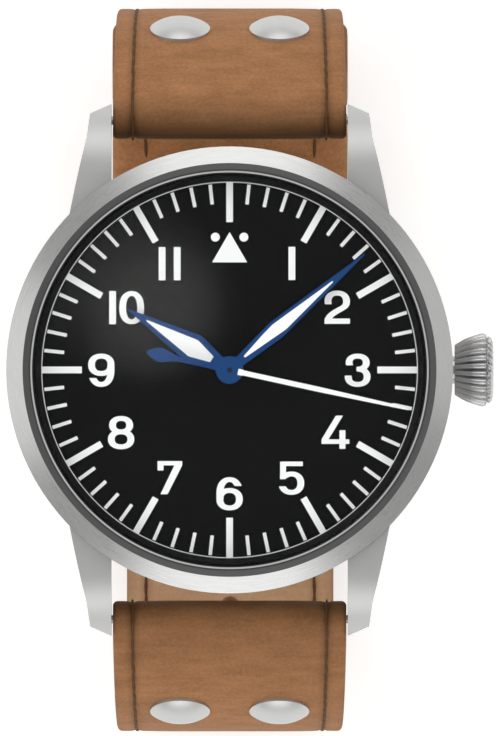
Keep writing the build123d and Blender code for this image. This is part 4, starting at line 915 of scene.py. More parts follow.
@dataclass(frozen=True)
class Digit:
    """Plain sans-serif digits, drawn in a box of one height, its middle at the origin.

    The numbers in each digit are shares of the box, of its strokes' middle lines and of the nib.
    """

    height: float = 3.12
    width: float = 2.39
    nib: Nib = Nib()

    @property
    def half(self) -> float:
        """Distance from the middle to the middle line of an upright on the box's side."""
        return self.width / 2 - self.nib.upright / 2

    @property
    def top(self) -> float:
        """Height of the middle line of a level stroke along the box's top."""
        return self.height / 2 - self.nib.level / 2

    @property
    def end(self) -> float:
        """Height of the box's top."""
        return self.height / 2

    def parts(self, digit: str) -> Parts:
        """Parts that make a digit up.

        Args:
            digit: a digit from 0 to 9.

        Returns:
            Its strokes and plates, in millimetres.
        """
        drawings = (
            self.zero,
            self.one,
            self.two,
            self.three,
            self.four,
            self.five,
            self.six,
            self.seven,
            self.eight,
            self.nine,
        )
        return drawings[int(digit)]()

    def zero(self) -> Parts:
        """Tall oval."""
        return [oval((0.0, 0.0), (0.97 * self.half, self.top))]

    def one(self) -> Parts:
        """Plain upright bar."""
        return [bar(-self.nib.upright / 2, self.nib.upright / 2, -self.end, self.end)]

    def two(self) -> Parts:
        """Round head, bending neck and flat foot.

        Returns:
            The parts.
        """
        half, top, end = self.half, self.top, self.end
        centre = 0.42 * top
        head = arc((0.0, centre), (half, top - centre), 199, -32)
        neck = bend(head[-1], (0.35 * half, -0.22 * top), (-half, -0.45 * top), (-half, -top))
        foot = bar(-self.width / 2, self.width / 2, -end, -end + 1.08 * self.nib.level)
        return [Stroke(head + neck), foot]

    def three(self) -> Parts:
        """Two bowls that meet at a short spur.

        Returns:
            The parts.
        """
        half, top = self.half, self.top
        waist, spur = 0.08 * top, 0.42 * self.nib.level
        head = arc((0.0, (top + waist) / 2), (0.92 * half, (top - waist) / 2), 202, -90)
        bowl = arc((0.0, (waist - top) / 2), (1.02 * half, (top + waist) / 2), 90, -187)
        return [Stroke(head), Stroke(bowl), bar(-0.13 * half, 0.3 * half, waist - spur, waist + spur)]

    def four(self) -> Parts:
        """Slanted side, crossbar and a short stem that the side doesn't reach.

        Returns:
            The parts.
        """
        half, top, end = self.half, self.top, self.end
        left, right = -1.09 * self.width / 2, 1.09 * self.width / 2
        rail, stem = -0.5 * top, 0.43 * half
        slope = Plate(((left, rail), (-0.74 * half, rail), (0.81 * half, end), (0.05 * half, end)))
        crossbar = bar(left, right, rail - 0.94 * self.nib.level, rail)
        return [slope, crossbar, bar(stem, stem + 0.88 * self.nib.upright, -end, 0.14 * top)]

    def five(self) -> Parts:
        """Flat top, short stem and open bowl.

        Returns:
            The parts.
        """
        half, top, end = self.half, self.top, self.end
        side, roof = 0.89 * self.width / 2, 0.3 * top
        flat = bar(-side, side, end - 0.92 * self.nib.level, end)
        stem = bar(-side, -side + 0.86 * self.nib.upright, -0.07 * top, end)
        bowl = arc((0.0, (roof - top) / 2), (1.01 * half, (top + roof) / 2), 148, -162)
        return [flat, stem, Stroke(bowl)]

    def six(self) -> Parts:
        """Round bowl with a tail that curves over it.

        Returns:
            The parts.
        """
        top = self.top
        roof, wide = 0.23 * top, 1.05 * self.half
        bowl = oval((0.0, (roof - top) / 2), (wide, (top + roof) / 2))
        return [bowl, Stroke(arc((0.0, 0.0), (wide, top), 31, 200))]

    def seven(self) -> Parts:
        """Flat top with a short serif on its left, and a straight slanted leg.

        Returns:
            The parts.
        """
        half, end = self.half, self.end
        side, brow = 0.97 * self.width / 2, end - 0.88 * self.nib.level
        leg = Plate(((-1.01 * half, -end), (-0.25 * half, -end), (side, brow), (side - half * 0.84, brow)))
        serif = bar(-side, -side + 0.88 * self.nib.upright, 0.51 * self.top, end)
        return [bar(-side, side, brow, end), serif, leg]

    def eight(self) -> Parts:
        """Small ring on a larger one.

        Returns:
            The parts.
        """
        half, top = self.half, self.top
        waist = 0.055 * top
        small = oval((0.0, (top + waist) / 2), (0.92 * half, (top - waist) / 2))
        return [small, oval((0.0, (waist - top) / 2), (1.05 * half, (top + waist) / 2))]

    def nine(self) -> Parts:
        """Six, turned half round."""
        return [Stroke(tuple((-x, -y) for x, y in line.points), line.closed) for line in self.six()]


@dataclass(frozen=True)
class Numerals:
    """Luminous hour numerals, printed on the dial and upright all round."""

    style: Digit = Digit()
    print_thickness: float = 0.05
    flat_angle: float = 1.0
    places: tuple[tuple[str, float, float], ...] = (
        ("1", 5.85, 10.0),
        ("2", 10.11, 5.89),
        ("3", 12.03, -0.03),
        ("4", 9.94, -5.85),
        ("5", 5.81, -10.17),
        ("6", 0.0, -11.63),
        ("7", -5.61, -10.12),
        ("8", -10.19, -5.89),
        ("9", -12.05, -0.03),
        ("1", -10.99, 5.85),
        ("0", -9.2, 5.85),
        ("1", -6.34, 9.98),
        ("1", -4.92, 9.98),
    )

    def face_of(self, digit: str) -> tuple[list[Point], list[list[int]]]:
        """Flat face of a digit: the union of its parts.

        Args:
            digit: a digit from 0 to 9.

        Returns:
            Corners and triangles.
        """
        corners, rings = [], []
        for part in self.style.parts(digit):
            for quad in part.outline(self.style.nib):
                rings.append(list(range(len(corners), len(corners) + len(quad))))
                corners += [Vector(corner) for corner in quad]
        points, _, faces, _, _, origins = delaunay_2d_cdt(corners, [], rings, 0, 1e-6)
        kept = [face for face, origin in zip(faces, origins) if origin]
        return [tuple(point) for point in points], kept

    def build(self, finishes: Finishes) -> Piece:
        """Raise every digit off the dial as one printed piece.

        Args:
            finishes: the watch's finishes.

        Returns:
            The numerals.
        """
        form = bmesh.new()
        for digit, across, up in self.places:
            points, faces = self.face_of(digit)
            corners = [form.verts.new((x + across, y + up, Watch.dial_high)) for x, y in points]
            for face in faces:
                form.faces.new([corners[place] for place in face])
        bmesh.ops.delete(form, geom=[vert for vert in form.verts if not vert.link_faces], context="VERTS")
        flat = radians(self.flat_angle)
        bmesh.ops.dissolve_limit(form, angle_limit=flat, verts=form.verts[:], edges=form.edges[:])
        bmesh.ops.triangulate(form, faces=form.faces[:])
        raised = bmesh.ops.extrude_face_region(form, geom=form.faces[:])["geom"]
        tops = [part for part in raised if isinstance(part, bmesh.types.BMVert)]
        bmesh.ops.translate(form, verts=tops, vec=(0, 0, self.print_thickness))
        bmesh.ops.recalc_face_normals(form, faces=form.faces[:])
        bmesh.ops.scale(form, verts=form.verts[:], vec=(MM, MM, MM))
        mesh = bpy.data.meshes.new("dial_numerals")
        form.to_mesh(mesh)
        form.free()
        mesh.materials.append(finishes.of("dial_print"))
        piece = show("dial_numerals", mesh)
        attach(piece, "watch_head")
        log.info("dial_numerals: %d digits", len(self.places))
        return piece


# Crown
@dataclass(frozen=True)
class Crown:
    """Onion crown: gadroons down its whole dome, a waist and a scalloped rim, hollow round the case tube."""

    start: float = 21.2
    neck_radius: float = 2.35
    swell: Point = (1.64, 3.19)
    widest: Point = (2.63, 3.47)
    shoulder: Point = (2.96, 3.36)
    waist: Point = (3.04, 3.0)
    waist_width: float = 0.03
    waist_depth: float = 0.05
    rim: Point = (3.12, 3.19)
    rim_end: Point = (3.62, 2.45)
    length: float = 3.65
    end_radius: float = 2.3
    gadroons: int = 26
    gadroon_depth: float = 0.42
    gadroon_power: float = 1.4
    neck_depth_share: float = 0.45
    rim_depth: float = 0.3
    rim_end_depth: float = 0.12
    rim_twist: float = 10.0
    bore_radius: float = 1.75
    bore_depth: float = 2.4
    thread_radius: float = 0.6
    thread_depth: float = 0.6
    points_per_gadroon: int = 16
    dome_steps: int = 28
    rim_steps: int = 8
    sharp_angle: float = 40.0

    def dome_radius(self, across: float) -> float:
        """Radius of the dome, on the arc through its neck, its swell and its widest place.

        Args:
            across: distance from the neck.

        Returns:
            The radius there.
        """
        neck = Vector((0.0, self.neck_radius))
        middle = Vector(circle_middle(Vector(self.swell) - neck, Vector(self.widest) - neck))
        reach = max(middle.length_squared - (across - middle.x) ** 2, 0.0)
        return self.neck_radius + middle.y + sqrt(reach)

    def outline(self) -> list[tuple[float, float, float, float]]:
        """Half section from the thread's bottom out over the dome to the end's middle.

        Returns:
            Distance from the neck, radius, depth of the gadroons and their turn in degrees, for each corner.
        """
        bottom = self.bore_depth + self.thread_depth
        found = [(bottom, self.thread_radius, 0.0, 0.0), (self.bore_depth, self.thread_radius, 0.0, 0.0)]
        found += [(self.bore_depth, self.bore_radius, 0.0, 0.0), (0.0, self.bore_radius, 0.0, 0.0)]
        for step in range(self.dome_steps + 1):
            share = step / self.dome_steps
            deep = self.neck_depth_share + (1 - self.neck_depth_share) * min(2 * share, 1.0)
            across = self.widest[0] * share
            found.append((across, self.dome_radius(across), self.gadroon_depth * deep, 0.0))
        found.append((*self.shoulder, self.gadroon_depth, 0.0))
        for width in (0.0, self.waist_width):
            found.append((self.waist[0] + width, self.waist[1], self.waist_depth, 0.0))
        for step in range(self.rim_steps + 1):
            share = step / self.rim_steps
            turn = radians(90 * share)
            across = self.rim[0] + (self.rim_end[0] - self.rim[0]) * sin(turn)
            radius = self.rim_end[1] + (self.rim[1] - self.rim_end[1]) * cos(turn)
            deep = self.rim_depth + (self.rim_end_depth - self.rim_depth) * share
            found.append((across, radius, deep, self.rim_twist * share))
        found.append((self.length, self.end_radius, 0.0, self.rim_twist))
        return found

    def build(self, finishes: Finishes) -> Piece:
        """Make the crown.

        Args:
            finishes: the watch's finishes.

        Returns:
            The crown.
        """
        count = self.gadroons * self.points_per_gadroon
        corners = []
        for across, radius, deep, twist in self.outline():
            for step in range(count):
                angle = 2 * pi * step / count
                lobe = abs(cos(self.gadroons * (angle - radians(twist)) / 2))
                reach = radius - deep * (1 - lobe) ** self.gadroon_power
                height = Watch.stem_height + reach * sin(angle)
                corners.append(Vector((self.start + across, reach * cos(angle), height)))
        rings = len(corners) // count
        faces = [list(range(count)), list(range((rings - 1) * count, rings * count))]
        for start in range(0, (rings - 1) * count, count):
            for step in range(count):
                near, after = start + step, start + (step + 1) % count
                faces.append([near, after, after + count, near + count])
        piece = mesh_piece("onion_crown", corners, faces, finishes.of("crown_steel"))
        face_outwards(piece)
        soften(piece, self.sharp_angle)
        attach(piece, "crown_body")
        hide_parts("crown")
        log.info("onion_crown: %d gadroons", self.gadroons)
        return piece


# Leather strap
ACROSS = Vector((1, 0, 0))


def side_way(angle: float) -> Vector:
    """Unit vector beside the strap, at an angle in radians from the 12 towards the crystal."""
    return Vector((0, cos(angle), sin(angle)))


@dataclass(frozen=True)
class Station:
    """One cross-section of a leather ribbon: the middles of its two faces and the way across."""

    outer: Vector
    inner: Vector
    across: Vector
    half_width: float
    # darkness laid on the whole cross-section, mostly painted shade at the folds
    burnish_and_shade: float = 0.0

    @property
    def down(self) -> Vector:
        """Unit vector from the outer face to the inner one."""
        return (self.inner - self.outer).normalized()


@dataclass(frozen=True)
class Ribbon:
    """Strip of leather with rounded edges and a soft crown, pressed in along its seams."""

    seam_inset: float = 1.85
    edge_radius: float = 0.45
    inner_radius: float = 0.18
    groove_depth: float = 0.13
    groove_width: float = 0.32
    groove_steps: tuple[float, ...] = (-2.4, -1.4, -0.7, 0.0, 0.7, 1.4, 2.4)
    crown: float = 0.04
    crown_width: float = 3.4
    crown_steps: tuple[float, ...] = (0.35, 0.7, 1.0)
    edge_burnish: float = 0.32
    burnish_reach: float = 0.3
    seam_burnish: float = 0.35
    pressed_share: float = 1.6
    full_half: float = 6.0
    middle_share: float = 0.92
    rounding_share: float = 0.45
    sharp_angle: float = 50.0

    def squeeze(self, half: float) -> float:
        """Factor on the sizes of the section where the strip is narrow."""
        return min(1.0, half / self.full_half)

    @staticmethod
    def rounding(radius: float, inset: float) -> float:
        """Depth of an edge rounded to a radius, at a distance from it."""
        return radius - sqrt(max(radius**2 - (radius - inset) ** 2, 0.0)) if inset < radius else 0.0

    def insets(self, half: float) -> list[float]:
        """Distances from the edge, up to the middle, at which the strip has corners.

        Args:
            half: half the strip's width.

        Returns:
            Rising distances, with the middle as the last.
        """
        near = [self.edge_radius * (1 - cos(radians(15 * step))) for step in range(7)]
        seam = [self.seam_inset + self.groove_width * step for step in self.groove_steps]
        inside = [seam[-1] + self.crown_width * share for share in self.crown_steps]
        places = [place * self.squeeze(half) for place in near + seam + inside]
        return [place for place in places if place < self.middle_share * half] + [half]

    def sink(self, half: float, inset: float) -> float:
        """Depth of the outer face below its crown.

        Args:
            half: half the strip's width.
            inset: distance from the edge.

        Returns:
            The depth.
        """
        squeeze = self.squeeze(half)
        past_seam = inset / squeeze - self.seam_inset
        groove = self.groove_depth * squeeze * exp(-((past_seam / self.groove_width) ** 2))
        rise = min(max(past_seam / self.crown_width, 0.0), 1.0)
        crown = self.crown * squeeze * (1 - rise * rise * (3 - 2 * rise))
        return self.rounding(self.edge_radius * squeeze, inset) + groove + crown

    def wear_and_shade(self, half: float, inset: float, station: Station) -> float:
        """Darkness of the leather: burnished at its edge, pressed at its seam, plus the painted shade of the
        cross-section's fold.

        Args:
            half: half the strip's width.
            inset: distance from the edge.
            station: the cross-section.

        Returns:
            Darkness from 0 to 1.
        """
        squeeze = self.squeeze(half)
        edge = self.edge_burnish * exp(-inset / (self.burnish_reach * squeeze))
        past_seam = (inset / squeeze - self.seam_inset) / (self.pressed_share * self.groove_width)
        pressed = self.seam_burnish * exp(-(past_seam**2))
        # the cross-section's painted fold shade is added to the seam's darkening
        return min(1.0, max(edge, station.burnish_and_shade, pressed + station.burnish_and_shade))

    def section(self, station: Station) -> tuple[list[Vector], list[float]]:
        """Corners of one cross-section, once round, and how dark each is, from burnish and painted shade.

        Args:
            station: the cross-section.

        Returns:
            Corners over the outer face from left to right, then back under the inner face.
        """
        half = station.half_width
        insets = self.insets(half)
        sides = [(-1, inset) for inset in insets] + [(1, inset) for inset in reversed(insets[:-1])]
        top, low, dark, dark_low = [], [], [], []
        limit = self.rounding_share * (station.inner - station.outer).length
        for side, inset in sides:
            across = station.across * side * (half - inset)
            sink = min(self.sink(half, inset), limit)
            rim = min(self.rounding(self.inner_radius, inset), limit)
            top.append(station.outer + across + station.down * sink)
            low.append(station.inner + across - station.down * rim)
            dark.append(self.wear_and_shade(half, inset, station))
            dark_low.append(max(station.burnish_and_shade, self.edge_burnish * exp(-inset / self.burnish_reach)))
        return top + low[::-1], dark + dark_low[::-1]

    def build(self, name: str, stations: list[Station], material: Material, closed: bool = False) -> Piece:
        """Skin the cross-sections into one closed piece.

        Args:
            name: name of the piece.
            stations: cross-sections along the strip.
            material: finish of the piece.
            closed: whether the last cross-section joins the first.

        Returns:
            The piece, with a burnish_and_shade attribute holding burnish and painted shade.
        """
        count = max(len(self.section(station)[0]) for station in stations)
        corners, burnish_and_shade = [], []
        for station in stations:
            points, dark = self.even_out(*self.section(station), count)
            corners += points
            burnish_and_shade += dark
        faces = []
        rings = len(stations)
        for place in range(rings if closed else rings - 1):
            start, after = place * count, (place + 1) % rings * count
            for corner in range(count):
                nearby = (corner + 1) % count
                faces.append([start + corner, start + nearby, after + nearby, after + corner])
        if not closed:
            for start, way in ((0, 1), ((rings - 1) * count, -1)):
                for near in range(count // 2 - 1):
                    far = count - 1 - near
                    quad = [start + near, start + far, start + far - 1, start + near + 1]
                    faces.append(quad[::way])
        piece = mesh_piece(name, corners, faces, material)
        face_outwards(piece)
        attribute = piece.data.attributes.new("burnish_and_shade", "FLOAT", "POINT")
        attribute.data.foreach_set("value", burnish_and_shade)
        return soften(piece, self.sharp_angle)

    @staticmethod
    def even_out(points: list[Vector], dark: list[float], count: int) -> tuple[list[Vector], list[float]]:
        """Repeat middle corners of a short cross-section until it has as many as the longest.

        Args:
            points: corners of the cross-section.
            dark: burnish of each corner.
            count: wanted number of corners.

        Returns:
            The longer row of corners and its burnish.
        """
        half, extra = len(points) // 2, (count - len(points)) // 2
        if not extra:
            return points, dark
        middle = half // 2

        def spread(row: list) -> list:
            """Fill the gap beside the middle with points along it.

            Args:
                row: values across one face.

            Returns:
                The longer row.
            """
            first, second = row[middle], row[middle + 1]
            fill = [first + (second - first) * (step / (extra + 1)) for step in range(1, extra + 1)]
            return row[: middle + 1] + fill + row[middle + 1 :]

        return spread(points[:half]) + spread(points[half:]), spread(dark[:half]) + spread(dark[half:])


@dataclass(frozen=True)
class StrapRoute:
    """Side lines of one half of the strap, as seen from the crown, drawn towards the 12.

    It leaves the spring bar, curves down round the wrist and turns in below it.
    """

    turn_height: float
    turn_angle: float
    run: float
    bar_reach: float = 23.5
    bar_height: float = 2.6
    eye_radius: float = 1.75
    eye_bore: float = 0.97
    thickness: float = 2.4
    strap_reach: float = 34.45
    wide_depth: float = 18.7
    turn_radius: float = 18.45
    wide_half: float = 11.0
    shoulder_half: float = 10.66
    narrow_half: float = 10.0

    @property
    def bar(self) -> Vector:
        """Middle of the spring bar."""
        return Vector((0, self.bar_reach, self.bar_height))

    @property
    def low_middle(self) -> float:
        """Height of the strap's middle where it has turned in below the wrist."""
        return self.turn_height - self.turn_radius + self.thickness / 2

    def arc_of(self, depth: float) -> tuple[float, float, float]:
        """Middle, radius and first angle of the upper arc at a depth under the outer face.

        Args:
            depth: distance under the outer face.

        Returns:
            Distance of the arc's middle from the watch's, its radius and its first angle.
        """
        line = self.strap_reach - depth
        rise = self.bar_height + self.wide_depth
        outer, inner = self.strap_reach, self.strap_reach - self.thickness
        reach = self.eye_radius if depth < self.thickness / 2 else -self.eye_radius
        face = outer if depth < self.thickness / 2 else inner
        across = self.bar_reach - face
        radius = (reach**2 - across**2 - rise**2) / (2 * (across + reach)) + line - face
        middle = line - radius
        return middle, radius, degrees(atan2(rise, self.bar_reach - middle))

    def arc_length(self) -> float:
        """Length of the outer face's upper arc."""
        _, radius, angle = self.arc_of(0)
        return radians(angle) * radius

    def at(self, depth: float, segment: int, share: float) -> tuple[Vector, Vector]:
        """Point and outward direction on the line at a depth under the outer face.

        Args:
            depth: distance under the outer face.
            segment: 0 for the upper arc, 1 for the drop, 2 for the turn and 3 for the run.
            share: place along the segment, from 0 to 1.

        Returns:
            Place and outward direction.
        """
        if segment == 0:
            middle, radius, start = self.arc_of(depth)
            way = side_way(radians(start * (1 - share)))
            return Vector((0, middle, -self.wide_depth)) + way * radius, way
        if segment == 1:
            height = -self.wide_depth + (self.turn_height + self.wide_depth) * share
            return Vector((0, self.strap_reach - depth, height)), Vector((0, 1, 0))
        way = side_way(radians(-self.turn_angle * (share if segment == 2 else 1)))
        middle = Vector((0, self.strap_reach - self.turn_radius, self.turn_height))
        place = middle + way * (self.turn_radius - depth)
        if segment == 3:
            place += Vector((0, way.z, -way.y)) * self.run * share
        return place, way

    def half_width(self, height: float, segment: int) -> float:
        """Half the strap's width: wide at the lugs, narrow below.

        Args:
            height: height in the watch's frame.
            segment: part of the route, as in at().

        Returns:
            Half the width.
        """
        if segment >= 2:
            return self.narrow_half
        shoulder = -self.wide_depth
        if height < shoulder:
            share = (height - self.turn_height) / (shoulder - self.turn_height)
            return self.narrow_half + (self.shoulder_half - self.narrow_half) * max(share, 0.0)
        share = (height - shoulder) / (self.bar_height - shoulder)
        return self.shoulder_half + (self.wide_half - self.shoulder_half) * min(share, 1.0)

    def stations(
        self, outer_depth: float, inner_depth: float, start: float = 0.0, steps: tuple = (26, 12, 30, 30)
    ) -> list[tuple[Station, float]]:
        """Cross-sections between two depths, each with its distance from the spring bar.

        Args:
            outer_depth: depth of the strip's outer face.
            inner_depth: depth of its inner face.
            start: share of the upper arc to leave out.
            steps: number of pieces on each segment.

        Returns:
            Cross-sections and their distances along the strap.
        """
        found, travelled, before = [], 0.0, None
        for segment, count in enumerate(steps):
            if segment == 3 and not self.run:
                continue
            for step in range(1 if segment else 0, count + 1):
                share = step / count
                if segment == 0:
                    share = start + (1 - start) * share
                outer, _ = self.at(outer_depth, segment, share)
                inner, _ = self.at(inner_depth, segment, share)
                travelled += (outer - before).length if before is not None else 0.0
                before = outer
                found.append((Station(outer, inner, ACROSS, self.half_width(outer.z, segment)), travelled))
        return found


@dataclass(frozen=True)
class RoundTip:
    """Rounded point of the long half: an arc from each edge to the tip."""

    length: float = 11.0
    half: float = 10.0
    bulge_share: float = 0.72
    least_half: float = 0.05

    def half_width(self, distance: float) -> float:
        """Half the width near the tip.

        Args:
            distance: distance from the tip.

        Returns:
            Half the width.
        """
        edge = Vector((self.half, -self.length))
        bulge = Vector((self.half * self.bulge_share, -self.length * (1 - self.bulge_share)))
        across, up = circle_middle(edge, bulge)
        return max(across + sqrt(max(hypot(across, up) ** 2 - (distance + up) ** 2, 0.0)), self.least_half)


@dataclass(frozen=True)
class Thread:
    """Waxed thread of the seams: stitches nearly touch, end to end."""

    material: Material
    pitch: float = 1.7
    length: float = 2.35
    width: float = 0.32
    slant: float = 4.0
    seed: int = 7


class StitchTree:
    """Geometry Nodes tree that sews one stitch after another along a line of edges."""

    least_slant: float = -0.35

    def __init__(self) -> None:
        """Build the tree, with its sizes as named inputs."""
        self.tree = bpy.data.node_groups.new("saddle_stitches", "GeometryNodeTree")
        self.sockets = {}
        face = self.tree.interface
        face.new_socket("Seam", in_out="INPUT", socket_type="NodeSocketGeometry")
        kinds = {
            "Pitch": "NodeSocketFloat",
            "Stitch Length": "NodeSocketFloat",
            "Thread Width": "NodeSocketFloat",
            "Slant": "NodeSocketFloat",
            "Seed": "NodeSocketInt",
            "Thread": "NodeSocketMaterial",
        }
        for name, kind in kinds.items():
            self.sockets[name] = face.new_socket(name, in_out="INPUT", socket_type=kind).identifier
        face.new_socket("Stitches", in_out="OUTPUT", socket_type="NodeSocketGeometry")
        self.fill()

    def fill(self) -> None:
        """Link the nodes: line to points, one stitch on each, turned along the seam."""
        tree = self.tree
        given = add_node(tree, "NodeGroupInput").outputs
        curve = add_node(tree, "GeometryNodeMeshToCurve", {"Mesh": given["Seam"]}).outputs[0]
        steps = {"Curve": curve, "Length": given["Pitch"]}
        even = add_node(tree, "GeometryNodeResampleCurve", steps, {"mode": "LENGTH"}).outputs[0]
        along = add_node(tree, "GeometryNodeInputTangent").outputs[0]
        kind = {"data_type": "FLOAT_VECTOR"}
        out = add_node(tree, "GeometryNodeInputNamedAttribute", {"Name": "out"}, kind)
        rise = {"Vector": out.outputs[0]}
        upright = add_node(tree, "FunctionNodeAlignRotationToVector", rise, {"axis": "Z"}).outputs[0]
        aim, axes = {"Rotation": upright, "Vector": along}, {"axis": "X", "pivot_axis": "Z"}
        aimed = add_node(tree, "FunctionNodeAlignRotationToVector", aim, axes).outputs[0]
        spread = {2: self.least_slant, 3: 1.0, "Seed": given["Seed"]}
        chance = add_node(tree, "FunctionNodeRandomValue", spread, {"data_type": "FLOAT"}).outputs[1]
        slant = add_node(tree, "ShaderNodeMath", {0: given["Slant"], 1: chance}, {"operation": "MULTIPLY"})
        lean = add_node(tree, "ShaderNodeCombineXYZ", {"Z": slant.outputs[0]}).outputs[0]
        lean_turn = add_node(tree, "FunctionNodeEulerToRotation", {0: lean}).outputs[0]
        turns = {"Rotation": aimed, "Rotate By": lean_turn}
        turned = add_node(tree, "FunctionNodeRotateRotation", turns, {"rotation_space": "LOCAL"}).outputs[0]
        round_shape = {"Segments": 8, "Rings": 6, "Radius": 0.5}
        ball = add_node(tree, "GeometryNodeMeshUVSphere", round_shape).outputs[0]
        size = {"X": given["Stitch Length"], "Y": given["Thread Width"], "Z": given["Thread Width"]}
        scale = add_node(tree, "ShaderNodeCombineXYZ", size).outputs[0]
        copies = {"Points": even, "Instance": ball, "Rotation": turned, "Scale": scale}
        sewn = add_node(tree, "GeometryNodeInstanceOnPoints", copies).outputs[0]
        real = add_node(tree, "GeometryNodeRealizeInstances", {0: sewn}).outputs[0]
        waxed = add_node(tree, "GeometryNodeSetMaterial", {"Geometry": real, "Material": given["Thread"]})
        add_node(tree, "NodeGroupOutput", {"Stitches": waxed.outputs[0]})

    def sew(self, name: str, seams: list[list[tuple[Vector, Vector]]], thread: Thread) -> Piece:
        """Sew stitches along several seams as one plain mesh.

        Args:
            name: name of the piece.
            seams: places and outward directions along each seam, in millimetres.
            thread: sizes and finish of the stitches.

        Returns:
            The stitches.
        """
        corners, edges, outs = [], [], []
        for seam in seams:
            start = len(corners)
            corners += [place * MM for place, _ in seam]
            outs += [part for _, out in seam for part in out]
            edges += [(start + step, start + step + 1) for step in range(len(seam) - 1)]
        line = bpy.data.meshes.new(f"{name}_line")
        line.from_pydata(corners, edges, [])
        line.attributes.new("out", "FLOAT_VECTOR", "POINT").data.foreach_set("vector", outs)
        guide = show(f"{name}_line", line)
        modifier = guide.modifiers.new("stitches", "NODES")
        modifier.node_group = self.tree
        values = {
            "Pitch": thread.pitch * MM,
            "Stitch Length": thread.length * MM,
            "Thread Width": thread.width * MM,
            "Slant": radians(thread.slant),
            "Seed": thread.seed,
            "Thread": thread.material,
        }
        for label, value in values.items():
            modifier[self.sockets[label]] = value
        mesh = bpy.data.meshes.new_from_object(guide.evaluated_get(bpy.context.evaluated_depsgraph_get()))
        bpy.data.objects.remove(guide)
        mesh.name = name
        mesh.shade_smooth()
        return show(name, mesh)


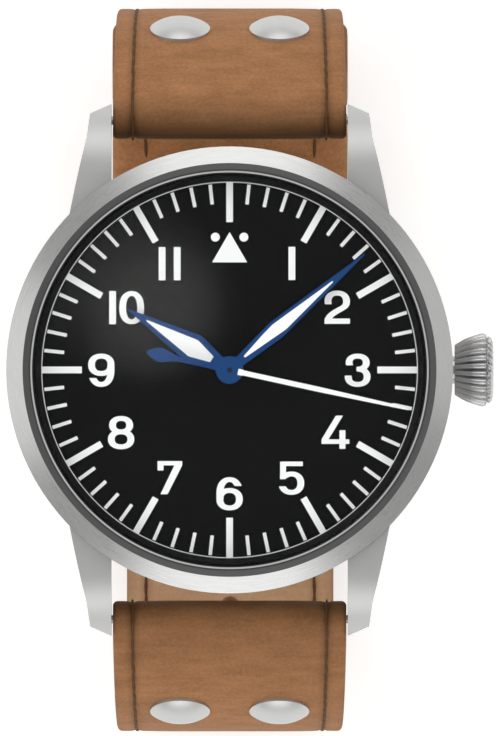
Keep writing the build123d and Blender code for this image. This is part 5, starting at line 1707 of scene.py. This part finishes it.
@dataclass
class StrapHalf:
    """One half of the strap: hide folded round its bars, lining and stitches."""

    name: str
    body: str
    node: str
    route: StrapRoute
    mirrored: bool
    lining_thickness: float = 0.9
    lining_start: float = 0.2
    lining_inset: float = 0.05
    fold_skive: float = 0.78
    fold_grow: float = 3.0
    fold_steps: int = 8
    layer_gap: float = 0.02
    # strength of the painted shade where the hide rolls over the spring bar
    fold_painted_shade: float = 0.9
    fold_reach: float = 22.0
    fold_fade: float = 4.4
    fold_power: float = 1.0
    # even darkening of the turned-in end and of the loop round the buckle's bar
    tucked_darkness: float = 0.4
    tip: RoundTip | None = None
    tip_room: float = 0.02
    buckle_reach: float = 0.0
    buckle_darkness: float = 0.6
    buckle_eye: float = 1.5
    buckle_bore: float = 0.8
    buckle_gap: float = 1.7
    tuck_reach: float = 1.1
    tuck_depth: float = 0.5
    eye_steps: int = 22
    hole_radius: float = 0.9
    hole_start: float = 24.0
    hole_pitch: float = 6.5
    hole_count: int = 0
    notch_width: float = 2.4
    notch_depth: float = 4.6
    seam_start: float = -2.2
    seam_end: float = 4.5
    seam_room: float = 1.2
    seam_eye_angle: float = 110.0
    seam_sink: float = 0.05

    def length(self) -> float:
        """Length of the outer face, from the spring bar to the end."""
        return self.route.stations(0, 1)[-1][1]

    def width_at(self, half: float, travelled: float) -> float:
        """Half width once the rounded tip is taken off.

        Args:
            half: half the width without the tip.
            travelled: distance from the spring bar.

        Returns:
            Half the width.
        """
        left = self.length() - travelled
        if self.tip is None or left >= self.tip.length:
            return half
        return min(half, self.tip.half_width(max(left, self.tip_room)))

    def hide_depth(self, travelled: float, lining_place: float) -> float:
        """Thickness of the hide's outer layer.

        Args:
            travelled: distance from the spring bar.
            lining_place: distance at which the lining starts.

        Returns:
            The thickness there.
        """
        folded = self.route.thickness / 2 - self.layer_gap
        lined = self.route.thickness - self.lining_thickness - self.layer_gap
        grow = min(travelled / self.fold_grow, 1.0)
        if travelled < lining_place:
            return self.fold_skive + (folded - self.fold_skive) * grow
        return folded + (lined - folded) * min(travelled - lining_place, 1.0)

    def eye(
        self, middle: Vector, radius: float, bore: float, first: float, last: float, half: float
    ) -> list[Station]:
        """Cross-sections of the hide round a bar.

        Args:
            middle: middle of the bar, seen from the side.
            radius: radius of the hide's outer face.
            bore: radius of its inner face.
            first: first angle, in degrees.
            last: last angle.
            half: half the strap's width.

        Returns:
            Cross-sections, the two ends left out.
        """
        found = []
        for step in range(1, self.eye_steps):
            way = side_way(radians(first + (last - first) * step / self.eye_steps))
            outer = middle + way * radius
            # painted shade round the spring bar, an even darkening round the buckle's bar
            found.append(Station(outer, middle + way * bore, ACROSS, half, self.fold_darkness(outer)))
        return found

    def fold_darkness(self, place: Vector) -> float:
        """Painted shade on the hide where it rolls over the spring bar, fading away from the case, and an
        even darkening round the buckle's bar.

        Args:
            place: point on the hide's outer face.

        Returns:
            Darkness from 0 to 1.
        """
        share = min(max((place.y - self.fold_reach) / self.fold_fade, 0.0), 1.0) ** self.fold_power
        near_bar = place.z > -self.route.wide_depth
        return self.fold_painted_shade * (1 - share) if near_bar else self.buckle_darkness

    def folded_back(self) -> list[Station]:
        """Cross-sections of the turned-in end, on the wrist's side, up to the spring bar.

        Returns:
            The cross-sections.
        """
        route = self.route
        near, _ = route.at(route.thickness, 0, 0)
        found = []
        for step in range(self.fold_steps + 1):
            face, way = route.at(route.thickness, 0, self.lining_start * (1 - step / self.fold_steps))
            grow = min((face - near).length / self.fold_grow, 1.0)
            depth = self.fold_skive + (route.thickness / 2 - self.layer_gap - self.fold_skive) * grow
            half = route.half_width(face.z, 0)
            found.append(Station(face, face + way * depth, ACROSS, half, self.tucked_darkness))
        return found

    def hide_stations(self) -> list[Station]:
        """Cross-sections of the whole hide, from its turned-in end to its far end.

        Returns:
            The cross-sections.
        """
        route = self.route
        first, last = 180 + route.arc_of(route.thickness)[2], route.arc_of(0)[2]
        found = self.folded_back()
        found += self.eye(route.bar, route.eye_radius, route.eye_bore, first, last, route.wide_half)
        lining_place = self.lining_start * route.arc_length()
        for station, travelled in route.stations(0, route.thickness):
            inner = station.outer + station.down * self.hide_depth(travelled, lining_place)
            half = self.width_at(station.half_width, travelled)
            # painted shade where the hide rolls over the spring bar towards the case
            dark = self.fold_darkness(station.outer) if station.outer.z > -route.wide_depth else 0.0
            found.append(Station(station.outer, inner, station.across, half, dark))
        if self.buckle_reach:
            found += self.buckle_loop()
        return found

    def buckle_loop(self) -> list[Station]:
        """Cross-sections of the hide round the buckle's bar.

        Returns:
            The cross-sections, with the tucked end as the last.
        """
        route = self.route
        bar = Vector((0, self.buckle_reach, route.low_middle))
        loop = self.eye(bar, self.buckle_eye, self.buckle_bore, -90, -270, route.narrow_half)
        last = bar + Vector((0, self.tuck_reach, route.thickness / 2))
        tucked = last - Vector((0, 0, self.tuck_depth))
        loop.append(Station(last, tucked, ACROSS, route.narrow_half, self.tucked_darkness))
        return loop

    def build_hide(self, finishes: Finishes) -> Piece:
        """Make the hide."""
        piece = Ribbon().build(f"{self.name}_hide", self.hide_stations(), finishes.of("leather"))
        return self.finish_layer(piece, "leather")

    def build_lining(self, finishes: Finishes) -> Piece:
        """Make the lining.

        Args:
            finishes: the watch's finishes.

        Returns:
            The lining.
        """
        route = self.route
        outer = route.thickness - self.lining_thickness
        before = self.lining_start * route.arc_length()
        stretch = self.length() / (route.stations(outer, route.thickness, self.lining_start)[-1][1] + before)
        stations = []
        for station, travelled in route.stations(outer, route.thickness, self.lining_start):
            low = station.outer.z < route.low_middle + route.turn_radius / 2
            if self.buckle_reach and low and station.outer.y < self.buckle_reach + self.buckle_gap:
                break
            half = self.width_at(station.half_width, (travelled + before) * stretch) - self.lining_inset
            stations.append(Station(station.inner, station.outer, station.across, half))
        flat = Ribbon(edge_radius=0.25, inner_radius=0.1, groove_depth=0.08, crown=0.0, edge_burnish=0.6)
        piece = flat.build(f"{self.name}_lining_skin", stations, finishes.of("lining"))
        return self.finish_layer(piece, "lining")

    def finish_layer(self, piece: Piece, kind: str) -> Piece:
        """Punch the holes or the notch, turn the layer to its side of the watch and let it ride.

        Args:
            piece: hide or lining.
            kind: material slot, which is also the end of the CAD node's name.

        Returns:
            The finished piece.
        """
        cutters = self.hole_cutters() if self.hole_count else []
        if self.buckle_reach:
            cutters.append(self.notch_cutter())
        for cutter in cutters:
            cut(piece, cutter)
        if self.mirrored:
            flip(piece)
        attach(piece, self.body)
        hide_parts(f"{self.node}_{kind}")
        log.info("%s rides on %s", piece.name, self.body)
        return piece

    def hole_cutters(self) -> list[Piece]:
        """Round bars that punch the holes for the tongue.

        Returns:
            The bars.
        """
        route = self.route
        turn = radians(route.turn_angle) * (route.turn_radius - route.thickness / 2)
        found = []
        for hole in range(self.hole_count):
            distance = self.hole_start + hole * self.hole_pitch
            segment, share = 3, 1 - distance / route.run
            if distance > route.run:
                segment, share = 2, 1 - (distance - route.run) / turn
            place, way = route.at(route.thickness / 2, segment, share)
            found.append(round_bar(place, way, self.hole_radius, 2 * route.thickness))
        return found

    def notch_cutter(self) -> Piece:
        """Block that cuts the notch for the tongue's eye.

        Returns:
            The block.
        """
        end = self.buckle_reach + self.notch_depth
        start = self.buckle_reach - 2 * self.buckle_eye
        size = (self.notch_width, end - start, 4 * self.route.thickness)
        return block((0, (start + end) / 2, self.route.low_middle), size)

    def seam_lines(self, outside: bool) -> list[list[tuple[Vector, Vector]]]:
        """Both seams of one face.

        Args:
            outside: whether the seams lie on the hide, and not on the lining.

        Returns:
            Places and outward directions along the two seams.
        """
        route, ribbon = self.route, Ribbon()
        last = self.length() - (self.seam_room if self.tip else self.seam_end)
        line = self.eye_top() if outside else []
        line += route.stations(0, route.thickness, steps=(52, 24, 60, 60))
        found = []
        for side in (-1, 1):
            seam = []
            for station, travelled in line:
                half = self.width_at(station.half_width, travelled)
                narrow = half < ribbon.seam_inset + self.seam_room
                if narrow or not self.seam_start < travelled < last:
                    continue
                down = station.down
                place, out = station.inner - down * self.seam_sink, down
                if outside:
                    place, out = station.outer + down * ribbon.sink(half, ribbon.seam_inset), -down
                place = place + station.across * side * (half - ribbon.seam_inset)
                if self.mirrored:
                    place.y, out = -place.y, Vector((out.x, -out.y, out.z))
                seam.append((place, out))
            found.append(seam)
        return found

    def eye_top(self, steps: int = 10) -> list[tuple[Station, float]]:
        """Cross-sections over the top of the spring bar, with distances before the strap's own.

        Args:
            steps: number of cross-sections.

        Returns:
            Cross-sections and their distances, all below zero.
        """
        route = self.route
        start = route.arc_of(0)[2]
        found = []
        for step in range(steps, 0, -1):
            angle = start + (self.seam_eye_angle - start) * step / steps
            way = side_way(radians(angle))
            outer, inner = route.bar + way * route.eye_radius, route.bar + way * route.eye_bore
            station = Station(outer, inner, ACROSS, route.wide_half)
            found.append((station, -radians(angle - start) * route.eye_radius))
        return found

    def build_stitches(self, tree: StitchTree, thread: Thread) -> Piece:
        """Sew the four seams of this half as one piece.

        Args:
            tree: tree that lays the stitches.
            thread: their sizes and finish.

        Returns:
            The stitches.
        """
        seams = self.seam_lines(True) + self.seam_lines(False)
        piece = tree.sew(f"{self.name}_stitches", seams, thread)
        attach(piece, self.body)
        log.info("%s: %d faces", piece.name, len(piece.data.polygons))
        return piece

    def build(self, finishes: Finishes, tree: StitchTree, thread: Thread) -> None:
        """Make the hide, its lining and its stitches.

        Args:
            finishes: the watch's finishes.
            tree: tree that lays the stitches.
            thread: their sizes and finish.
        """
        self.build_hide(finishes)
        self.build_lining(finishes)
        self.build_stitches(tree, thread)


@dataclass
class Keeper:
    """Leather loop that holds the strap's tail, sewn to the strap by two rows of stitches or free on it."""

    name: str
    body: str
    node: str
    angle: float
    length: float
    route: StrapRoute
    wall: float = 1.1
    side_gap: float = 0.25
    inner_gap: float = 0.4
    room: float = 2.8
    corner: float = 1.5
    least_corner: float = 0.05
    corner_steps: int = 8
    straight_shares: tuple[float, ...] = (0.15, 0.5, 0.85)
    sewn: bool = False
    seam_place: float = 8.15
    seam_end: float = 1.5

    @property
    def half_across(self) -> float:
        """Half the loop's outer width."""
        return self.route.narrow_half + self.side_gap + self.wall

    @property
    def half_up(self) -> float:
        """Half the loop's outer height."""
        return (self.route.thickness + self.inner_gap + self.room) / 2 + self.wall

    def frame(self) -> tuple[Vector, Vector, Vector]:
        """Place of the loop on the strap.

        Returns:
            Middle of the strap inside the loop, the way out of the loop and the way along the strap.
        """
        route = self.route
        way = Vector((0, sin(radians(self.angle)), -cos(radians(self.angle))))
        middle = Vector((0, route.strap_reach - route.turn_radius, route.turn_height))
        return middle + way * (route.turn_radius - route.thickness / 2), way, Vector((0, way.z, -way.y))

    def stations(self) -> list[Station]:
        """Cross-sections once round the loop.

        Returns:
            The cross-sections.
        """
        origin, way, along = self.frame()
        centre = origin + way * (self.room - self.inner_gap) / 2
        reach = max(self.corner - self.wall, self.least_corner)
        found = []
        for side, up, start in ((1, 1, 0), (-1, 1, 90), (-1, -1, 180), (1, -1, 270)):
            edges = ACROSS * side, way * up
            for step in range(self.corner_steps + 1):
                turn = radians(start + 90 * step / self.corner_steps)
                out = Vector((cos(turn), 0, 0)) + way * sin(turn)
                knee = edges[0] * (self.half_across - self.corner) + edges[1] * (self.half_up - self.corner)
                inset = edges[0] * (self.half_across - self.wall) + edges[1] * (self.half_up - self.wall)
                inner = centre + inset - (edges[0] + edges[1] - out) * reach
                found.append(Station(centre + knee + out * self.corner, inner, along, self.length / 2))
            found += self.straight_after(found[-1], side, up, way)
        return found

    def straight_after(self, last: Station, side: int, up: int, way: Vector) -> list[Station]:
        """Cross-sections along the straight stretch that follows a corner.

        Args:
            last: last cross-section of the corner.
            side: 1 for a corner on the crown's side, -1 on the other.
            up: 1 for a corner on the loop's outer side, -1 on its inner side.
            way: way out of the loop.

        Returns:
            Three cross-sections.
        """
        reach = 2 * ((self.half_across if side == up else self.half_up) - self.corner)
        stretch = (ACROSS * -up if side == up else way * side) * reach
        shifts = [stretch * share for share in self.straight_shares]
        half = self.length / 2
        return [Station(last.outer + shift, last.inner + shift, last.across, half) for shift in shifts]

    def seams(self) -> list[list[tuple[Vector, Vector]]]:
        """Two seams across the loop's inner wall, where it is sewn to the strap.

        Returns:
            Places and outward directions along each seam.
        """
        origin, way, along = self.frame()
        face = origin - way * (self.route.thickness / 2 + self.inner_gap + self.wall)
        half = along * (self.length / 2 - self.seam_end)
        middles = [face + ACROSS * side * self.seam_place for side in (-1, 1)]
        return [[(middle + half * end, -way) for end in (-1, 1)] for middle in middles]

    def build(self, finishes: Finishes, tree: StitchTree, thread: Thread) -> None:
        """Make the loop, and sew it to the strap if it doesn't slide.

        Args:
            finishes: the watch's finishes.
            tree: tree that lays the stitches.
            thread: their sizes and finish.
        """
        edges = {"seam_inset": 0.9, "edge_radius": 0.3, "inner_radius": 0.15}
        strip = Ribbon(**edges, groove_depth=0.0, groove_width=0.25, crown=0.05, crown_width=0.8)
        loop = strip.build(self.name, self.stations(), finishes.of("leather"), closed=True)
        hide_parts(self.node)
        pieces = [loop]
        if self.sewn:
            pieces.append(tree.sew(f"{self.name}_stitches", self.seams(), thread))
        for piece in pieces:
            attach(piece, self.body)
            log.info("%s rides on %s", piece.name, self.body)


def cut(piece: Piece, cutter: Piece) -> None:
    """Cut one solid out of a piece, keep the piece's attributes and remove the cutter.

    Args:
        piece: the piece.
        cutter: the solid.
    """
    modifier = piece.modifiers.new("cut", "BOOLEAN")
    modifier.operation, modifier.solver, modifier.object = "DIFFERENCE", "EXACT", cutter
    mesh = bpy.data.meshes.new_from_object(piece.evaluated_get(bpy.context.evaluated_depsgraph_get()))
    piece.modifiers.clear()
    piece.data = mesh
    bpy.data.objects.remove(cutter)
    soften(piece, Ribbon.sharp_angle)


def flip(piece: Piece) -> None:
    """Mirror a piece from the 12 to the 6, faces still outwards.

    Args:
        piece: the piece.
    """
    form = bmesh.new()
    form.from_mesh(piece.data)
    bmesh.ops.scale(form, verts=form.verts[:], vec=(1, -1, 1))
    bmesh.ops.reverse_faces(form, faces=form.faces[:])
    form.to_mesh(piece.data)
    form.free()
    soften(piece, Ribbon.sharp_angle)


def round_bar(middle: Vector, way: Vector, radius: float, length: float) -> Piece:
    """Round bar to cut with.

    Args:
        middle: its middle, in millimetres.
        way: direction of its axis.
        radius: its radius.
        length: its length.

    Returns:
        The bar.
    """
    form = bmesh.new()
    bmesh.ops.create_cone(form, cap_ends=True, segments=32, radius1=radius, radius2=radius, depth=length)
    turn = Vector((0, 0, 1)).rotation_difference(way).to_matrix().to_4x4()
    return cutter_of(form, Matrix.Translation(middle) @ turn)


def block(middle: tuple, size: tuple) -> Piece:
    """Block to cut with.

    Args:
        middle: its middle, in millimetres.
        size: its length along each axis.

    Returns:
        The block.
    """
    form = bmesh.new()
    bmesh.ops.create_cube(form, size=1.0)
    return cutter_of(form, Matrix.Translation(middle) @ Matrix.Diagonal((*size, 1.0)))


def cutter_of(form: bmesh.types.BMesh, place: Matrix) -> Piece:
    """Bring a form to its place and link it into the scene for a moment, as a cutter.

    Args:
        form: the form, which is used up.
        place: its place and size, in millimetres.

    Returns:
        The cutter.
    """
    bmesh.ops.transform(form, verts=form.verts[:], matrix=Matrix.Scale(MM, 4) @ place)
    mesh = bpy.data.meshes.new("cutter")
    form.to_mesh(mesh)
    form.free()
    return show("cutter", mesh)


@dataclass
class Strap:
    """The two halves of the strap and their keepers."""

    short_route: StrapRoute = StrapRoute(turn_height=-32.87, turn_angle=90.0, run=4.0)
    long_route: StrapRoute = StrapRoute(turn_height=-36.70, turn_angle=110.0, run=30.0)

    def build(self, finishes: Finishes) -> None:
        """Make every piece of leather and its stitches.

        Args:
            finishes: the watch's finishes.
        """
        short, long = self.short_route, self.long_route
        # weaker painted shade at the long half's fold, fading over a longer reach
        folds = {"fold_painted_shade": 0.68, "fold_fade": 9.0, "fold_power": 0.65}
        ends = {"tip": RoundTip(), "hole_count": 7}
        pieces = (
            StrapHalf("short_strap", "buckle_strap", "buckle_strap", short, False, buckle_reach=12.0),
            StrapHalf("long_strap", "tail_strap", "tail_strap", long, True, **folds, **ends),
            Keeper("fixed_keeper_loop", "buckle_strap", "fixed_keeper", 16.5, 6.0, short, sewn=True),
            Keeper("free_keeper_loop", "keeper_loop", "free_keeper", 46.0, 5.0, short),
        )
        tree, thread = StitchTree(), Thread(finishes.of("thread"))
        for piece in pieces:
            piece.build(finishes, tree, thread)


# Studio: floor, lamps and camera
def direction(azimuth: float, elevation: float) -> tuple[float, float, float]:
    """Unit vector away from the watch, by its degrees from the 3 towards the 12 and above the horizon."""
    turn, rise = radians(azimuth), radians(elevation)
    return cos(rise) * cos(turn), cos(rise) * sin(turn), sin(rise)


@dataclass(frozen=True)
class PaleFloor(Finish):
    """Matt pale board that is white to the camera, in metal and through glass, and takes a shadow."""

    name: str = "pale_floor"
    colour: str = "#F2F2F0"
    glow: float = 0.4

    def shade(self, tree: Tree) -> Socket:
        """Add a glow that only those rays see to the matt board.

        Args:
            tree: the material's tree.

        Returns:
            Socket with the shader.
        """
        surface = {"Base Color": linear(self.colour), "Roughness": 0.9}
        matt = add_node(tree, "ShaderNodeBsdfPrincipled", surface).outputs[0]
        rays = add_node(tree, "ShaderNodeLightPath").outputs
        seen = rays["Is Camera Ray"]
        for kind in ("Is Glossy Ray", "Is Transmission Ray"):
            either = {0: seen, 1: rays[kind]}
            seen = add_node(tree, "ShaderNodeMath", either, {"operation": "MAXIMUM"}).outputs[0]
        glow = add_node(tree, "ShaderNodeMath", {0: seen, 1: self.glow}, {"operation": "MULTIPLY"}).outputs[0]
        lit = add_node(tree, "ShaderNodeEmission", {"Color": linear("#FFFFFF"), "Strength": glow}).outputs[0]
        return add_node(tree, "ShaderNodeAddShader", {0: matt, 1: lit}).outputs[0]


@dataclass(frozen=True)
class Studio:
    """Pale floor, four soft boxes round the watch and a camera straight above the dial."""

    camera_distance: float = 2000.0
    camera_place: Point = (1.92, 0.18)
    field_height: float = 69.15
    sensor: float = 36.0
    floor_size: float = 4000.0
    box_distance: float = 420.0
    box_size: float = 330.0
    box_elevation: float = 33.0
    boxes: tuple[tuple[str, float, float], ...] = (
        ("top", 90.0, 0.47),
        ("bottom", -90.0, 0.47),
        ("right", 12.0, 0.14),
        ("left", 180.0, 0.28),
    )
    room_light: float = 0.54
    glare_light: float = 2.6
    glare_azimuth: float = 140.8
    glare_elevation: float = 83.0
    glare_spread: float = 6.0

    def camera(self) -> None:
        """Put a long lens straight over the dial."""
        data = bpy.data.cameras.new("camera")
        data.sensor_width = self.sensor
        data.lens = self.sensor * self.camera_distance / self.field_height
        data.clip_start, data.clip_end = 0.05, 100.0
        camera = show("camera", data)
        camera.location = Vector((*self.camera_place, Watch.case_height + self.camera_distance)) * MM
        bpy.context.scene.camera = camera

    def floor(self) -> None:
        """Lay the pale floor that the strap stands on."""
        half, height = self.floor_size / 2, Watch.floor_height
        corners = [(x, y, height) for x, y in ((-half, -half), (half, -half), (half, half), (-half, half))]
        # Matt board, even and pale, on which the strap casts a soft shadow
        piece = mesh_piece("floor", corners, [[0, 1, 2, 3]], PaleFloor().build())

    def lamps(self) -> None:
        """Light the watch from four sides with soft boxes that face it, each of its own power in watts."""
        for name, azimuth, power in self.boxes:
            data = bpy.data.lights.new(f"{name}_box", "AREA")
            data.shape = "SQUARE"
            data.size = self.box_size * MM
            data.energy = power
            lamp = show(f"{name}_box", data)
            way = Vector(direction(azimuth, self.box_elevation))
            lamp.location = way * self.box_distance * MM
            lamp.rotation_euler = way.to_track_quat("Z", "Y").to_euler()

    def world(self) -> None:
        """Fill the room with an even light, a little brighter in one soft patch of the ceiling."""
        world = bpy.data.worlds.new("studio")
        world.use_nodes = True
        tree = world.node_tree
        tree.nodes.clear()
        look = add_node(tree, "ShaderNodeTexCoord").outputs["Generated"]
        aim = {0: look, 1: direction(self.glare_azimuth, self.glare_elevation)}
        near = add_node(tree, "ShaderNodeVectorMath", aim, {"operation": "DOT_PRODUCT"}).outputs["Value"]
        patch = {
            "Value": near,
            "From Min": cos(radians(self.glare_spread)),
            "To Min": self.room_light,
            "To Max": self.room_light + self.glare_light,
        }
        strength = add_node(tree, "ShaderNodeMapRange", patch, {"interpolation_type": "SMOOTHSTEP"})
        light = {"Color": linear("#FFFFFF"), "Strength": strength.outputs["Result"]}
        room = add_node(tree, "ShaderNodeBackground", light).outputs[0]
        add_node(tree, "ShaderNodeOutputWorld", {"Surface": room})
        bpy.context.scene.world = world

    def build(self) -> None:
        """Set up the whole studio."""
        bpy.context.scene.view_settings.view_transform = "Standard"
        self.camera()
        self.floor()
        self.lamps()
        self.world()


def main() -> None:
    """Build the studio, the finishes and every piece of the watch."""
    logging.basicConfig(level=logging.INFO, format="%(name)s: %(message)s")
    finishes = Finishes()
    Studio().build()
    finishes.dress_nodes()
    Numerals().build(finishes)
    Crown().build(finishes)
    Strap().build(finishes)


if __name__ == "__main__":
    main()
